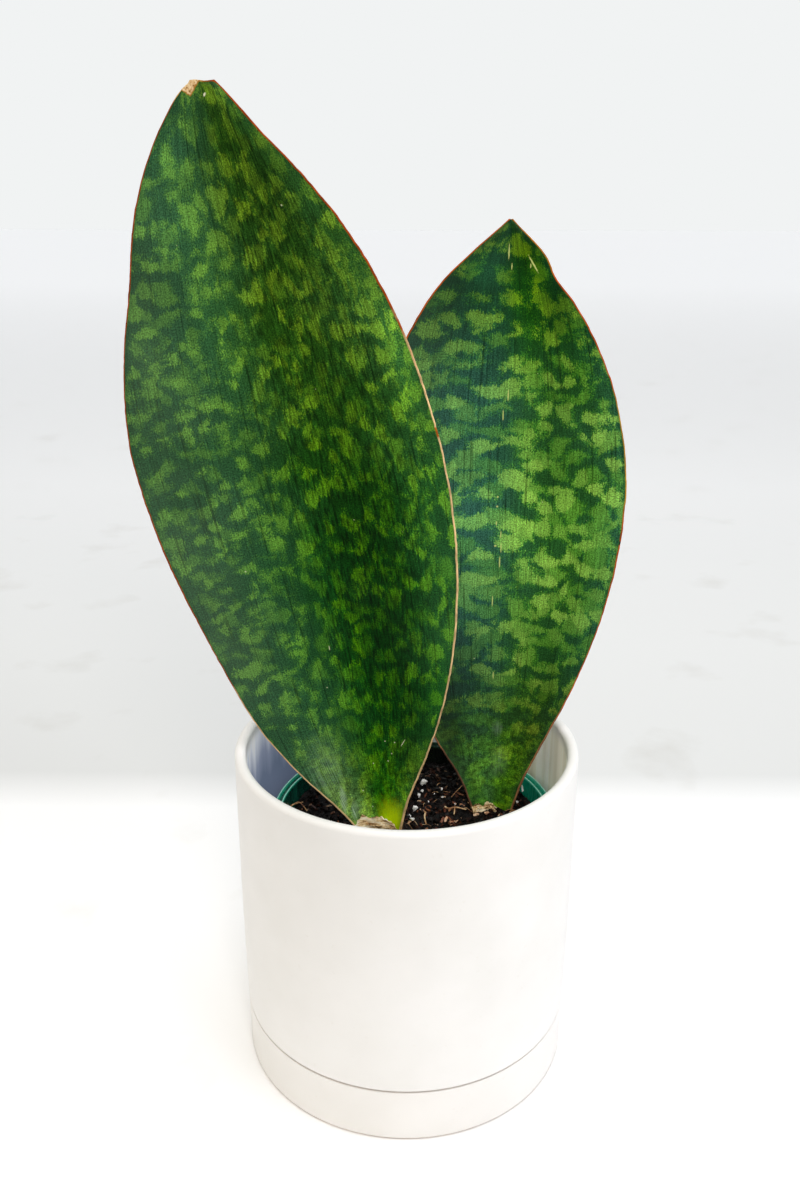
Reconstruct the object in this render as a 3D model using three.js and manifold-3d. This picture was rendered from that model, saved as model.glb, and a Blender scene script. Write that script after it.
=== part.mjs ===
// Shark fin snake plant: two broad leaves in a plastic grow pot, inside a ceramic planter on its saucer.
// Millimetres. +Z is up, +X is the viewer's right, +Y points away from the viewer.
// The origin is the centre of the saucer's flat underside.

import * as THREE from 'three';
import { mergeVertices } from 'three/addons/utils/BufferGeometryUtils.js';
import Module from 'manifold-3d';

const wasm = await Module();
wasm.setup();

// Ceramic planter and its saucer
const planterRadius = 90;
const planterTop = 181.2; // rim above the table
const planterWall = 5.9;
const planterFloor = 8;
const planterFootRadius = 82.5; // the foot stands inside the saucer
const planterRimRound = 2.8;
const planterFullHeight = 90; // from here up the planter has its full radius, and below it narrows slightly
const planterCove = 6; // height of the slope between inner wall and floor
const drainHoleRadius = 9;
const saucerRadius = 89.3; // at its top edge
const saucerBaseRadius = 88.9;
const saucerTop = 30.2;
const saucerWall = 6;
const saucerFloor = 6;
const seamGap = 0.9; // the dark line between planter and saucer
const ceramicBevel = 3; // on the foot and where the saucer's wall meets its floor
const ceramicEdgeRound = 1.4; // at both edges of the seam
const saucerBaseRound = 0.9;
const restGap = 0.3; // between pieces that rest on each other

// Plastic grow pot, set a little to the right of the planter's axis
const growPotOffset = 4;
const growPotTop = 141;
const growPotFootRadius = 57;
const growPotNeckRadius = 72.6; // just under the lip
const growPotLipRadius = 76;
const growPotLipHeight = 8;
const growPotWall = 1.2;
const growPotBevel = 2;
const growPotFlange = 1.7; // thickness of the lip's outer flange
const growPotGroove = 2; // depth of the groove inside it
const growPotBead = 1.6; // width of the inner bead
const growPotDrainRadius = 5;
const growPotDrainSides = 10;
const growPotDrainCircle = 42;
const growPotDrainCount = 6;

// Soil
const soilTop = 130;
const soilRelief = 1.6; // height of the broad bumps
const soilClearance = 0.45; // round what stands or lies in the soil
const holeReach = 20; // how far above the soil the leaves' holes clear grains away
const barkCount = 26;
const perliteCount = 12;
const perliteRadius = 2.1;
const grainMargin = 9; // grains stay this far from the grow pot's wall
const soilEdgeClearance = 0.5; // to the grow pot's faceted wall
const soilRings = 8;
const seed = 7;

// How deep the leaf bases reach into the soil, and the creeping stem that they grow from
const leafSunk = 27;
const stemRadius = 7.5;
const stemDip = 6; // how far the stem's middle hangs below its ends
const stemLinks = 4;
const rootRadius = 1.6;
const rootLength = 38;
const rootCount = 4;
const rootTurn = 2.4; // radians from each root's direction to the next one's

// Number of sides on turned pieces
const ceramicSides = 64;
const plasticSides = 48;
const cornerSteps = 1;

// Each leaf runs from its foot at soil level to its tip. A station is the distance up the leaf, then how far
// the left and the right margin lie from the middle. The blade is cupped towards the viewer by cup at most,
// its middle bows away by bow, and its margins wave by wave.
const largeLeaf = {
  foot: new THREE.Vector3(-12, -5, soilTop),
  tip: new THREE.Vector3(-86.4, -12.6, 495.8),
  turn: 4,
  cup: 15,
  bow: 6,
  wave: { height: 2.5, length: 150, left: 0.5, right: 2.6 },
  stations: [
    [0, 9.2, 9.3],
    [20, 19, 17.8],
    [45, 34.3, 32.6],
    [75, 49.4, 47.5],
    [110, 59.3, 59.4],
    [150, 66.5, 67.7],
    [190, 71.9, 70.3],
    [230, 73.7, 67.7],
    [265, 66.3, 61.7],
    [300, 52.7, 49.8],
    [330, 41.4, 33.6],
    [352, 28.2, 18.7],
    [368, 14.4, 9],
    [374, 7, 4.8],
  ],
};
const smallLeaf = {
  foot: new THREE.Vector3(48, 19, soilTop),
  tip: new THREE.Vector3(48.5, 35.3, 440.6),
  turn: 0,
  cup: 11,
  bow: 5,
  wave: { height: 2, length: 130, left: 1, right: 0.2 },
  stations: [
    [0, 11.2, 10.4],
    [20, 18.4, 16.3],
    [45, 32.9, 27.2],
    [75, 44.6, 41.1],
    [110, 54.2, 53],
    [150, 62.1, 60],
    [190, 64.5, 61.7],
    [225, 60.4, 55.4],
    [252, 51.2, 44.4],
    [272, 40.2, 32.3],
    [284, 30.9, 22.5],
    [296, 18.3, 16],
    [311, 0.8, 0.8],
  ],
};
const leafRows = 34;
const leafColumns = [-1, -0.86, -0.6, -0.3, 0, 0.3, 0.6, 0.86, 1];
const leafMarginThickness = 1.2;
const leafBladeThickness = 3;
const leafFootThickness = 7;
const leafFootFade = 40; // how far up the thick foot thins into the blade
const cupAtFoot = 0.12; // where on its half wave the cup starts at the foot
const cupSharpness = 0.8;

// Dry papery sheaths lie against the front of each leaf's foot, from one part of its width to another
const largeSheath = { leaf: largeLeaf, left: -0.94, right: 0.74, height: 15, rag: 2.2 };
const smallSheath = { leaf: smallLeaf, left: -0.96, right: 0.2, height: 6.5, rag: 2.2 };
const sheathThickness = 0.8;
const sheathGap = 0.6; // off the leaf, along the way that it faces
const sheathLift = 0.08; // more of that gap for each millimetre of height
const sheathSunk = 5;
const sheathSteps = 11;

// A closed geometry as a solid: shared corners joined, triangles shut at the axis dropped, faces outwards
function toSolid(geometry) {
  const bare = new THREE.BufferGeometry();
  bare.setAttribute('position', geometry.getAttribute('position'));
  bare.setIndex(geometry.index);
  const welded = mergeVertices(bare);
  const position = welded.getAttribute('position');
  const corner = [new THREE.Vector3(), new THREE.Vector3(), new THREE.Vector3()];
  const triangles = [];
  let volume = 0;
  for (let i = 0; i < welded.index.count; i += 3) {
    const ids = [0, 1, 2].map((k) => welded.index.getX(i + k));
    if (new Set(ids).size < 3) continue;
    ids.forEach((id, k) => corner[k].fromBufferAttribute(position, id));
    volume += corner[0].dot(corner[1].clone().cross(corner[2]));
    triangles.push(ids);
  }
  if (volume < 0) triangles.forEach((ids) => ids.reverse());
  const triVerts = Uint32Array.from(triangles.flat());
  return new wasm.Manifold(new wasm.Mesh({ numProp: 3, vertProperties: position.array, triVerts }));
}

// The largest single body of a solid, without scraps that a cut left loose
function wholeBody(solid) {
  return solid.decompose().reduce((largest, body) => (body.volume() > largest.volume() ? body : largest));
}

function toMesh(name, solid, material) {
  const { vertProperties, triVerts } = solid.getMesh();
  const geometry = new THREE.BufferGeometry();
  geometry.setAttribute('position', new THREE.BufferAttribute(vertProperties, 3));
  geometry.setIndex(new THREE.BufferAttribute(triVerts, 1));
  geometry.computeVertexNormals();
  const mesh = new THREE.Mesh(geometry, material);
  mesh.name = name;
  return mesh;
}

// A path of radius and height, turned round the upright axis
function turned(path, sides) {
  const lathe = new THREE.LatheGeometry(path.getPoints(cornerSteps), sides);
  return toSolid(lathe.rotateX(Math.PI / 2));
}

// An upright rod, for round holes
function rod(radius, bottom, top, x, y, sides) {
  const cylinder = new THREE.CylinderGeometry(radius, radius, top - bottom, sides);
  cylinder.rotateX(Math.PI / 2);
  cylinder.translate(x, y, (top + bottom) / 2);
  return toSolid(cylinder);
}

function makeSaucer() {
  const inner = saucerRadius - saucerWall;
  const edgeCentre = saucerTop - ceramicEdgeRound;
  const path = new THREE.Path();
  path.moveTo(0, 0);
  path.lineTo(saucerBaseRadius - saucerBaseRound, 0);
  path.absarc(saucerBaseRadius - saucerBaseRound, saucerBaseRound, saucerBaseRound, -Math.PI / 2, 0, false);
  path.lineTo(saucerRadius, edgeCentre);
  path.absarc(saucerRadius - ceramicEdgeRound, edgeCentre, ceramicEdgeRound, 0, Math.PI / 2, false);
  path.absarc(inner + ceramicEdgeRound, edgeCentre, ceramicEdgeRound, Math.PI / 2, Math.PI, false);
  path.lineTo(inner, saucerFloor + ceramicBevel);
  path.lineTo(inner - ceramicBevel, saucerFloor);
  path.lineTo(0, saucerFloor);
  return turned(path, ceramicSides);
}

function makePlanter() {
  const underside = saucerFloor + restGap;
  const shoulder = saucerTop + seamGap;
  const inner = planterRadius - planterWall;
  const edgeCentre = saucerRadius - ceramicEdgeRound;
  const rimCentre = planterTop - planterRimRound;
  const path = new THREE.Path();
  path.moveTo(drainHoleRadius, underside);
  path.lineTo(planterFootRadius - ceramicBevel, underside);
  path.lineTo(planterFootRadius, underside + ceramicBevel);
  path.lineTo(planterFootRadius, shoulder);
  path.absarc(edgeCentre, shoulder + ceramicEdgeRound, ceramicEdgeRound, -Math.PI / 2, 0, false);
  path.lineTo(planterRadius, planterFullHeight);
  path.absarc(planterRadius - planterRimRound, rimCentre, planterRimRound, 0, Math.PI / 2, false);
  path.absarc(inner + planterRimRound, rimCentre, planterRimRound, Math.PI / 2, Math.PI, false);
  path.lineTo(inner, underside + planterFloor + planterCove);
  path.lineTo(inner - planterCove, underside + planterFloor);
  path.lineTo(drainHoleRadius, underside + planterFloor);
  path.closePath();
  return turned(path, ceramicSides);
}

// Heights shared by the grow pot and the soil in it
const growPotBottom = saucerFloor + restGap + planterFloor + restGap;
const growPotInside = growPotBottom + growPotWall;

// Inner radius of the tapered grow pot wall at a height
function growPotInner(z) {
  const rise = (z - growPotBottom) / (growPotTop - growPotLipHeight - growPotBottom);
  return THREE.MathUtils.lerp(growPotFootRadius, growPotNeckRadius, rise) - growPotWall;
}

// The rolled lip has an outer flange, a groove and a lower inner bead
function makeGrowPot() {
  const lipBottom = growPotTop - growPotLipHeight;
  const beadInside = growPotInner(lipBottom);
  const path = new THREE.Path();
  path.moveTo(0, growPotBottom);
  path.lineTo(growPotFootRadius - growPotBevel, growPotBottom);
  path.lineTo(growPotFootRadius, growPotBottom + growPotBevel);
  path.lineTo(growPotNeckRadius, lipBottom);
  path.lineTo(growPotLipRadius, lipBottom + 1);
  path.lineTo(growPotLipRadius, growPotTop - growPotFlange / 2);
  path.lineTo(growPotLipRadius - growPotFlange / 2, growPotTop);
  path.lineTo(growPotLipRadius - growPotFlange, growPotTop - growPotFlange / 2);
  path.lineTo(beadInside + growPotBead, growPotTop - growPotGroove);
  path.lineTo(beadInside + growPotBead / 2, growPotTop - growPotGroove / 2);
  path.lineTo(beadInside, growPotTop - growPotGroove);
  path.lineTo(beadInside, lipBottom);
  path.lineTo(growPotInner(growPotInside), growPotInside);
  path.lineTo(0, growPotInside);
  let pot = turned(path, plasticSides);
  for (let i = 0; i < growPotDrainCount; i++) {
    const angle = (i / growPotDrainCount) * 2 * Math.PI;
    const x = growPotDrainCircle * Math.cos(angle);
    const y = growPotDrainCircle * Math.sin(angle);
    const hole = rod(growPotDrainRadius, growPotBottom - 1, growPotInside + 1, x, y, growPotDrainSides);
    pot = pot.subtract(hole);
  }
  return pot.translate(growPotOffset, 0, 0);
}

// A smooth curve through [distance, value] pairs
function smoothAt(points, distance) {
  const last = points.length - 1;
  const s = THREE.MathUtils.clamp(distance, points[0][0], points[last][0]);
  const i = Math.min(points.findLastIndex(([at]) => at <= s), last - 1);
  const slope = (k) => {
    const [before, after] = [points[Math.max(k - 1, 0)], points[Math.min(k + 1, last)]];
    return (after[1] - before[1]) / (after[0] - before[0]);
  };
  const span = points[i + 1][0] - points[i][0];
  const u = (s - points[i][0]) / span;
  const start = points[i][1] * (1 + 2 * u) + slope(i) * span * u;
  const end = points[i + 1][1] * (3 - 2 * u) - slope(i + 1) * span * (1 - u);
  return start * (1 - u) * (1 - u) + end * u * u;
}

// Directions of a leaf: up along it, across it to the right, and out of its face towards the viewer
function leafAxes(leaf) {
  const up = leaf.tip.clone().sub(leaf.foot);
  const length = up.length();
  up.normalize();
  const turn = THREE.MathUtils.degToRad(leaf.turn);
  const facing = new THREE.Vector3(-Math.sin(turn), -Math.cos(turn), 0);
  facing.addScaledVector(up, -facing.dot(up)).normalize();
  const across = up.clone().cross(facing);
  return { up, across, facing, length };
}

// Where the middle of the blade's thickness lies, for a distance up the leaf and t from -1 to 1 across it
function bladePoint(leaf, axes, distance, t, widen) {
  const s = Math.max(distance, 0);
  const part = Math.min(s / axes.length, 1);
  const side = t < 0 ? 1 : 2;
  const half = smoothAt(leaf.stations.map((station) => [station[0], station[side]]), s) + widen;
  const hump = Math.max(Math.sin(Math.PI * part), 0);
  const cupWave = Math.max(Math.sin(Math.PI * (cupAtFoot + (1 - cupAtFoot) * part)), 0);
  const phase = t < 0 ? leaf.wave.left : leaf.wave.right;
  const wave = leaf.wave.height * hump * Math.sin((2 * Math.PI * s) / leaf.wave.length + phase) * t ** 4;
  const forward = leaf.cup * cupWave ** cupSharpness * t * t - leaf.bow * hump + wave;
  const point = leaf.foot.clone().addScaledVector(axes.up, distance);
  return point.addScaledVector(axes.across, half * t).addScaledVector(axes.facing, forward);
}

// The foot is thick and thins into the blade, and the blade thins to its margins
function leafThickness(distance, t) {
  const fade = Math.exp(-Math.max(distance, 0) / leafFootFade);
  const middle = THREE.MathUtils.lerp(leafBladeThickness, leafFootThickness, fade);
  return THREE.MathUtils.lerp(middle, leafMarginThickness, t * t);
}

// A closed sheet between a grid of front points and the matching grid of back points,
// with both faces split into triangles alike
function closedSheet(front, back) {
  const rows = front.length;
  const columns = front[0].length;
  const points = [...front.flat(), ...back.flat()];
  const backStart = rows * columns;
  const index = [];
  const quad = (a, b, c, d) => index.push(a, b, c, a, c, d);
  for (let i = 0; i < rows - 1; i++) {
    for (let j = 0; j < columns - 1; j++) {
      const [low, high] = [i * columns + j, (i + 1) * columns + j];
      quad(low, low + 1, high + 1, high);
      const [a, b, c, d] = [low, low + 1, high + 1, high].map((id) => id + backStart);
      index.push(a, c, b, a, d, c);
    }
  }
  const rim = [];
  for (let j = 0; j < columns - 1; j++) rim.push(j);
  for (let i = 0; i < rows - 1; i++) rim.push(i * columns + columns - 1);
  for (let j = columns - 1; j > 0; j--) rim.push((rows - 1) * columns + j);
  for (let i = rows - 1; i > 0; i--) rim.push(i * columns);
  rim.forEach((id, k) => {
    const next = rim[(k + 1) % rim.length];
    quad(next, id, id + backStart, next + backStart);
  });
  const geometry = new THREE.BufferGeometry().setFromPoints(points);
  geometry.setIndex(index);
  return toSolid(geometry);
}

// The leaf from below the soil up to a given height; extra thickens and widens it for its hole in the soil
function makeLeaf(leaf, topDistance, extra) {
  const axes = leafAxes(leaf);
  const end = Math.min(topDistance, axes.length);
  const rows = Math.max(Math.round((leafRows * end) / axes.length), 3);
  const distances = [-leafSunk - extra, -leafSunk / 2];
  for (let i = 0; i <= rows; i++) distances.push((end * i) / rows);
  const faces = [0.5, -0.5].map((side) =>
    distances.map((distance) =>
      leafColumns.map((t) => {
        const out = side * (leafThickness(distance, t) + 2 * extra);
        return bladePoint(leaf, axes, distance, t, extra).addScaledVector(axes.facing, out);
      }),
    ),
  );
  return closedSheet(...faces);
}

// Round knuckles along a path, each joined to the next one
function knuckled(points, radius, detail) {
  const balls = points.map(({ x, y, z }) => {
    return toSolid(new THREE.IcosahedronGeometry(radius, detail).translate(x, y, z));
  });
  const links = balls.slice(1).map((ball, i) => wasm.Manifold.hull([balls[i], ball]));
  return wasm.Manifold.union(links);
}

// The creeping stem joins the two leaf feet under the soil, and short roots hang from it
function makeRhizome(extra) {
  const ends = [largeLeaf, smallLeaf].map((leaf) => {
    return leaf.foot.clone().addScaledVector(leafAxes(leaf).up, -leafSunk - restGap - stemRadius);
  });
  const line = [];
  for (let i = 0; i <= stemLinks; i++) {
    const point = ends[0].clone().lerp(ends[1], i / stemLinks);
    point.z -= stemDip * Math.sin((Math.PI * i) / stemLinks);
    line.push(point);
  }
  const bodies = [knuckled(line, stemRadius + extra, 1)];
  for (let i = 0; i < rootCount; i++) {
    const start = line[1 + (i % (stemLinks - 1))];
    const aside = new THREE.Vector3(Math.cos(i * rootTurn), Math.sin(i * rootTurn), 0);
    const knee = start.clone().addScaledVector(aside, rootLength * 0.4);
    const end = start.clone().addScaledVector(aside, rootLength * 0.55);
    knee.z -= rootLength * 0.25;
    end.z -= rootLength;
    bodies.push(knuckled([start, knee, end], rootRadius + extra, 0));
  }
  return wasm.Manifold.union(bodies);
}

// A papery sheath follows the front of its leaf's foot, with a ragged top that is highest left of the middle
function makeSheath(sheath, extra) {
  const axes = leafAxes(sheath.leaf);
  const heights = [-sheathSunk - extra, 0, 0.5, 1];
  const faces = [0.5, -0.5].map((side) =>
    heights.map((height) => {
      const row = [];
      for (let j = 0; j <= sheathSteps; j++) {
        const part = j / sheathSteps;
        const t = THREE.MathUtils.lerp(sheath.left, sheath.right, part);
        const rag = sheath.rag * (Math.sin(part * 23) * 0.5 + Math.sin(part * 9 + 1) * 0.5);
        const top = sheath.height * Math.sin(Math.PI * (0.2 + 0.7 * part)) + rag;
        const distance = height <= 0 ? height : height * Math.max(top, 2);
        const gap = sheathGap + sheathLift * Math.max(distance, 0) + sheathThickness / 2;
        const out = leafThickness(distance, t) / 2 + gap + side * (sheathThickness + 2 * extra);
        row.push(bladePoint(sheath.leaf, axes, distance, t, 0).addScaledVector(axes.facing, out));
      }
      return row;
    }),
  );
  return closedSheet(...faces);
}

// Height of the soil's broad bumps, about 35 mm apart, with smaller ones half as wide
function soilBump(x, y) {
  const broad = Math.sin(x * 0.19 + 1) * Math.cos(y * 0.16);
  const small = Math.sin(x * 0.41 - y * 0.33);
  return soilRelief * (0.6 * broad + 0.4 * small);
}

// The soil's body fills the grow pot, and its top is uneven
function makeSoilBody() {
  const edge = growPotInner(soilTop) - soilEdgeClearance;
  const foot = growPotInside + restGap;
  const path = new THREE.Path();
  path.moveTo(0, foot);
  path.lineTo(growPotInner(foot) - soilEdgeClearance, foot);
  for (let i = soilRings; i >= 0; i--) path.lineTo((edge * i) / soilRings, soilTop);
  const lathe = new THREE.LatheGeometry(path.getPoints(cornerSteps), plasticSides).rotateX(Math.PI / 2);
  lathe.translate(growPotOffset, 0, 0);
  const position = lathe.getAttribute('position');
  for (let i = 0; i < position.count; i++) {
    const [x, y] = [position.getX(i), position.getY(i)];
    const inset = edge - Math.hypot(x - growPotOffset, y);
    if (position.getZ(i) > soilTop - 1 && inset > 1) position.setZ(i, soilTop + soilBump(x, y));
  }
  return toSolid(lathe);
}

// Bark shreds and perlite grains lie on the soil, sunk about half way in
function makeSoil() {
  THREE.MathUtils.seededRandom(seed);
  const random = (low, high) => low + (high - low) * THREE.MathUtils.seededRandom();
  let soil = makeSoilBody();
  for (let i = 0; i < barkCount + perliteCount; i++) {
    const isBark = i < barkCount;
    const reach = (growPotInner(soilTop) - grainMargin) * Math.sqrt(random(0.02, 1));
    const angle = random(0, 2 * Math.PI);
    const x = growPotOffset + reach * Math.cos(angle);
    const y = reach * Math.sin(angle);
    const grain = isBark
      ? new THREE.BoxGeometry(random(6, 14), random(2, 3.5), random(2, 3))
      : new THREE.IcosahedronGeometry(perliteRadius * random(0.7, 1.1), 0);
    grain.rotateY(random(-0.3, 0.3));
    grain.rotateZ(random(0, Math.PI));
    grain.translate(x, y, soilTop + soilBump(x, y) + (isBark ? 0.3 : 0.8));
    soil = soil.add(toSolid(grain));
  }
  const holes = [
    makeLeaf(largeLeaf, holeReach, soilClearance),
    makeLeaf(smallLeaf, holeReach, soilClearance),
    makeSheath(largeSheath, soilClearance),
    makeSheath(smallSheath, soilClearance),
    makeRhizome(soilClearance),
  ];
  holes.forEach((hole) => {
    soil = soil.subtract(hole);
  });
  return wholeBody(soil);
}

const whiteCeramic = { color: 0xf3f2ef, roughness: 0.45, metalness: 0 };
const tealPlastic = { color: 0x1f8f7c, roughness: 0.35, metalness: 0 };
const darkPeat = { color: 0x2a1c16, roughness: 0.95, metalness: 0 };
const leafGreen = { color: 0x2c6a31, roughness: 0.4, metalness: 0 };
const stemCream = { color: 0xd8c9a0, roughness: 0.7, metalness: 0 };
const dryPaper = { color: 0xc2a878, roughness: 0.85, metalness: 0 };

const pieces = [
  ['saucer', makeSaucer(), whiteCeramic],
  ['outer_pot', makePlanter(), whiteCeramic],
  ['nursery_pot', makeGrowPot(), tealPlastic],
  ['soil', makeSoil(), darkPeat],
  ['rhizome', makeRhizome(0), stemCream],
  ['leaf_large', makeLeaf(largeLeaf, Infinity, 0), leafGreen],
  ['leaf_small', makeLeaf(smallLeaf, Infinity, 0), leafGreen],
  ['dry_sheath_large', makeSheath(largeSheath, 0), dryPaper],
  ['dry_sheath_small', makeSheath(smallSheath, 0), dryPaper],
];

const plant = new THREE.Group();
pieces.forEach(([name, solid, finish]) => {
  plant.add(toMesh(name, solid, new THREE.MeshStandardMaterial(finish)));
});

export default plant;
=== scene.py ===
import math
import random
from functools import partial

import bmesh
import bpy
import numpy as np
from mathutils import Euler, Matrix, Vector, noise


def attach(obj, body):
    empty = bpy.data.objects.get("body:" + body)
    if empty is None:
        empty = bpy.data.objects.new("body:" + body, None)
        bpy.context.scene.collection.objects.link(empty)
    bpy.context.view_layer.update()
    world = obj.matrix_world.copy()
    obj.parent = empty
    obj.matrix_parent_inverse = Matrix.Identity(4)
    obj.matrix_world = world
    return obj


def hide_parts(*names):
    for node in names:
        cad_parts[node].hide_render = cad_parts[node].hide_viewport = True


# Potted shark fin snake plant, in metres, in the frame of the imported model
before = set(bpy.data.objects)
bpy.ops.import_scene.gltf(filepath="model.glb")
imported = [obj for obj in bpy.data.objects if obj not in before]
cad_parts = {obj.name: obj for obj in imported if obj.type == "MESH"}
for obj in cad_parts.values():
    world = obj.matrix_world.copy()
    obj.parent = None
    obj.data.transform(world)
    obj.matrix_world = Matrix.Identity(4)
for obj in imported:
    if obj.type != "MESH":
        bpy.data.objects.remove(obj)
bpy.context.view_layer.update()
random.seed(11)
mm = 0.001


def linearColour(hexText):  # sRGB hex to linear
    values = []
    for start in (0, 2, 4):
        part = int(hexText[start:start + 2], 16) / 255
        values.append(part / 12.92 if part <= 0.04045 else ((part + 0.055) / 1.055) ** 2.4)
    return (*values, 1)


def perMm(size):  # texture scale for a feature of this many millimetres
    return 1000 / size


def fillInputs(node, inputs):  # a list fills the enabled sockets in order, a dictionary goes by name
    enabled = [socket for socket in node.inputs if socket.enabled]
    pairs = inputs.items() if isinstance(inputs, dict) else enumerate(inputs)
    for key, value in pairs:
        socket = enabled[key] if isinstance(key, int) else node.inputs[key]
        if isinstance(value, bpy.types.NodeSocket):
            node.id_data.links.new(value, socket)
        elif value is not None:
            socket.default_value = value


mainSetting = {
    "Math": "operation", "VectorMath": "operation", "Mix": "data_type", "MapRange": "interpolation_type",
}


def addNode(tree, kind, settings, inputs, output=None):  # returns the socket that the next node takes
    node = tree.nodes.new("ShaderNode" + kind)
    if isinstance(settings, str):
        settings = {mainSetting[kind]: settings}
    for key, value in settings.items():
        if key == "stops":
            while len(node.color_ramp.elements) < len(value):
                node.color_ramp.elements.new(0.5)
            for element, (position, hexText) in zip(node.color_ramp.elements, value):
                element.position = position
                element.color = linearColour(hexText)
        else:
            setattr(node, key, value)
    fillInputs(node, inputs)
    if output:
        return node.outputs[output]
    return next(socket for socket in node.outputs if socket.enabled)


def addCurve(add, points, value):  # a smooth curve through the points, for inputs from 0 to 1
    node = add("FloatCurve", {}, {"Value": value}).node
    node.mapping.use_clip = False
    line = node.mapping.curves[0].points
    while len(line) < len(points):
        line.new(0.5, 0.5)
    for point, place in zip(line, sorted(points)):
        point.location = place
    node.mapping.update()
    return node.outputs["Value"]


def newFinish(name):  # gives the material, what adds its nodes, and its shader
    material = bpy.data.materials.new(name)
    material.use_nodes = True
    tree = material.node_tree
    return material, partial(addNode, tree), tree.nodes["Principled BSDF"]


# relief and sheen that follow one grain; bump is its strength and its depth in mm, and gloss is the grain's
# lowest and highest value, then the roughness at each
def grainy(add, shader, tone, grain, bump, gloss, shine=0.5):
    relief = add("Bump", {}, {"Strength": bump[0], "Distance": bump[1] * mm, "Height": grain})
    sheen = add("MapRange", {}, [grain, *gloss])
    fillInputs(shader, {"Base Color": tone, "Roughness": sheen, "Normal": relief, "Specular IOR Level": shine})


def startClean():
    if bpy.context.object and bpy.context.object.mode != "OBJECT":
        bpy.ops.object.mode_set(mode="OBJECT")
    bpy.ops.object.select_all(action="DESELECT")


def choose(piece):
    startClean()
    piece.select_set(True)
    bpy.context.view_layer.objects.active = piece


def pick(piece, kind, wanted):  # in edit mode, selects the faces or edges whose corners all pass
    bpy.ops.mesh.select_mode(type=kind)
    bpy.ops.mesh.select_all(action="DESELECT")
    shape = bmesh.from_edit_mesh(piece.data)
    for part in shape.faces if kind == "FACE" else shape.edges:
        if all(wanted(corner.co) for corner in part.verts):
            part.select_set(True)
    bmesh.update_edit_mesh(piece.data)


def onRing(radius, height, axis=(0, 0), slack=0.15 * mm):
    def wanted(place):
        away = math.hypot(place.x - axis[0], place.y - axis[1])
        return abs(away - radius * mm) < slack and abs(place.z - height * mm) < slack
    return wanted


def raiseRings(rings, radius, height, axis=(0, 0)):  # extrudes the picked cap from ring to ring
    for nextRadius, nextHeight in rings:
        lift = (nextHeight - height) * mm
        bpy.ops.mesh.extrude_region_move(TRANSFORM_OT_translate={"value": (0, 0, lift)})
        grow = nextRadius / radius
        centre = (axis[0], axis[1], nextHeight * mm)
        bpy.ops.transform.resize(value=(grow, grow, 1), center_override=centre)
        radius, height = nextRadius, nextHeight


def finishTurned(piece, angle):
    bpy.ops.mesh.select_all(action="SELECT")
    bpy.ops.mesh.remove_doubles(threshold=0.00001)
    bpy.ops.mesh.normals_make_consistent(inside=False)
    bpy.ops.object.mode_set(mode="OBJECT")
    bpy.ops.object.shade_smooth_by_angle(angle=math.radians(angle))
    weighted = piece.modifiers.new("weighted", "WEIGHTED_NORMAL")
    weighted.keep_sharp = True
    bpy.ops.object.modifier_apply(modifier=weighted.name)


def settle(piece, name, finish, stands=()):  # names, paints and hands a finished piece to the frame
    choose(piece)
    bpy.ops.object.transform_apply(location=True, rotation=True, scale=True)
    piece.name = name
    piece.data.name = name
    piece.data.materials.clear()
    piece.data.materials.append(finish)
    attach(piece, "root")
    if stands:
        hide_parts(*stands)
    print("made", name, len(piece.data.polygons), "faces")


# the camera stands where the photo was taken from, angles in degrees
view = {"place": (0, -0.5172, 0.4555), "down": 20.654, "left": 0.397, "roll": 0.093, "lens": 33}

startClean()
bpy.ops.object.camera_add(location=view["place"])
camera = bpy.context.object
camera.data.lens = view["lens"]
camera.data.sensor_width = 36
camera.data.clip_start = 0.02
aim = Euler((math.radians(90 - view["down"]), 0, math.radians(view["left"]))).to_matrix()
aim = aim @ Matrix.Rotation(math.radians(view["roll"]), 3, "Z")
camera.rotation_euler = aim.to_euler()
bpy.context.scene.camera = camera

lights = {
    "key window": {"at": (0.85, -0.75, 1.0), "size": 0.7, "power": 3.7, "colour": "F3F6FF"},
    "warm fill": {"at": (-1.2, -0.6, 0.7), "size": 0.8, "power": 1.9, "colour": "FFF0D8"},
    "overhead": {"at": (0.1, -0.15, 1.7), "size": 0.9, "power": 7, "colour": "FFFFFF"},
    "front softbox": {"at": (0.2, -1.25, 1.05), "size": 0.5, "power": 8.8, "colour": "FFFAF4"},
}
for name, light in lights.items():
    bpy.ops.object.light_add(type="AREA", location=light["at"])
    lamp = bpy.context.object
    lamp.name = name
    lamp.data.shape = "DISK"
    lamp.data.size = light["size"]
    lamp.data.energy = light["power"]
    lamp.data.color = linearColour(light["colour"])[:3]
    lamp.rotation_euler = (Vector((0, 0, 0.22)) - Vector(light["at"])).to_track_quat("-Z", "Y").to_euler()

# pale walls, and a dimmer room in front
room = {"back": "F1F3F3", "front": "6E7070", "left": "E9E4DA", "right": "EEF2FA"}
world = bpy.data.worlds.new("pale room")
world.use_nodes = True
roomTree = world.node_tree
addToRoom = partial(addNode, roomTree)
outward = addToRoom("TexCoord", {}, [], "Generated")
outwardX = addToRoom("SeparateXYZ", {}, [outward], "X")
outwardY = outwardX.node.outputs["Y"]
toRight = addToRoom("MapRange", {}, [outwardX, -0.6, 0.6, 0, 1])
toFront = addToRoom("MapRange", "SMOOTHSTEP", [outwardY, 0.15, -0.75, 0, 1])
toBack = addToRoom("MapRange", "SMOOTHSTEP", [outwardY, 0.35, 0.7, 0, 1])
sides = addToRoom("Mix", "RGBA", [toRight, linearColour(room["left"]), linearColour(room["right"])])
withFront = addToRoom("Mix", "RGBA", [toFront, sides, linearColour(room["front"])])
walls = addToRoom("Mix", "RGBA", [toBack, withFront, linearColour(room["back"])])
fillInputs(roomTree.nodes["Background"], {"Color": walls, "Strength": 1})
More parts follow.
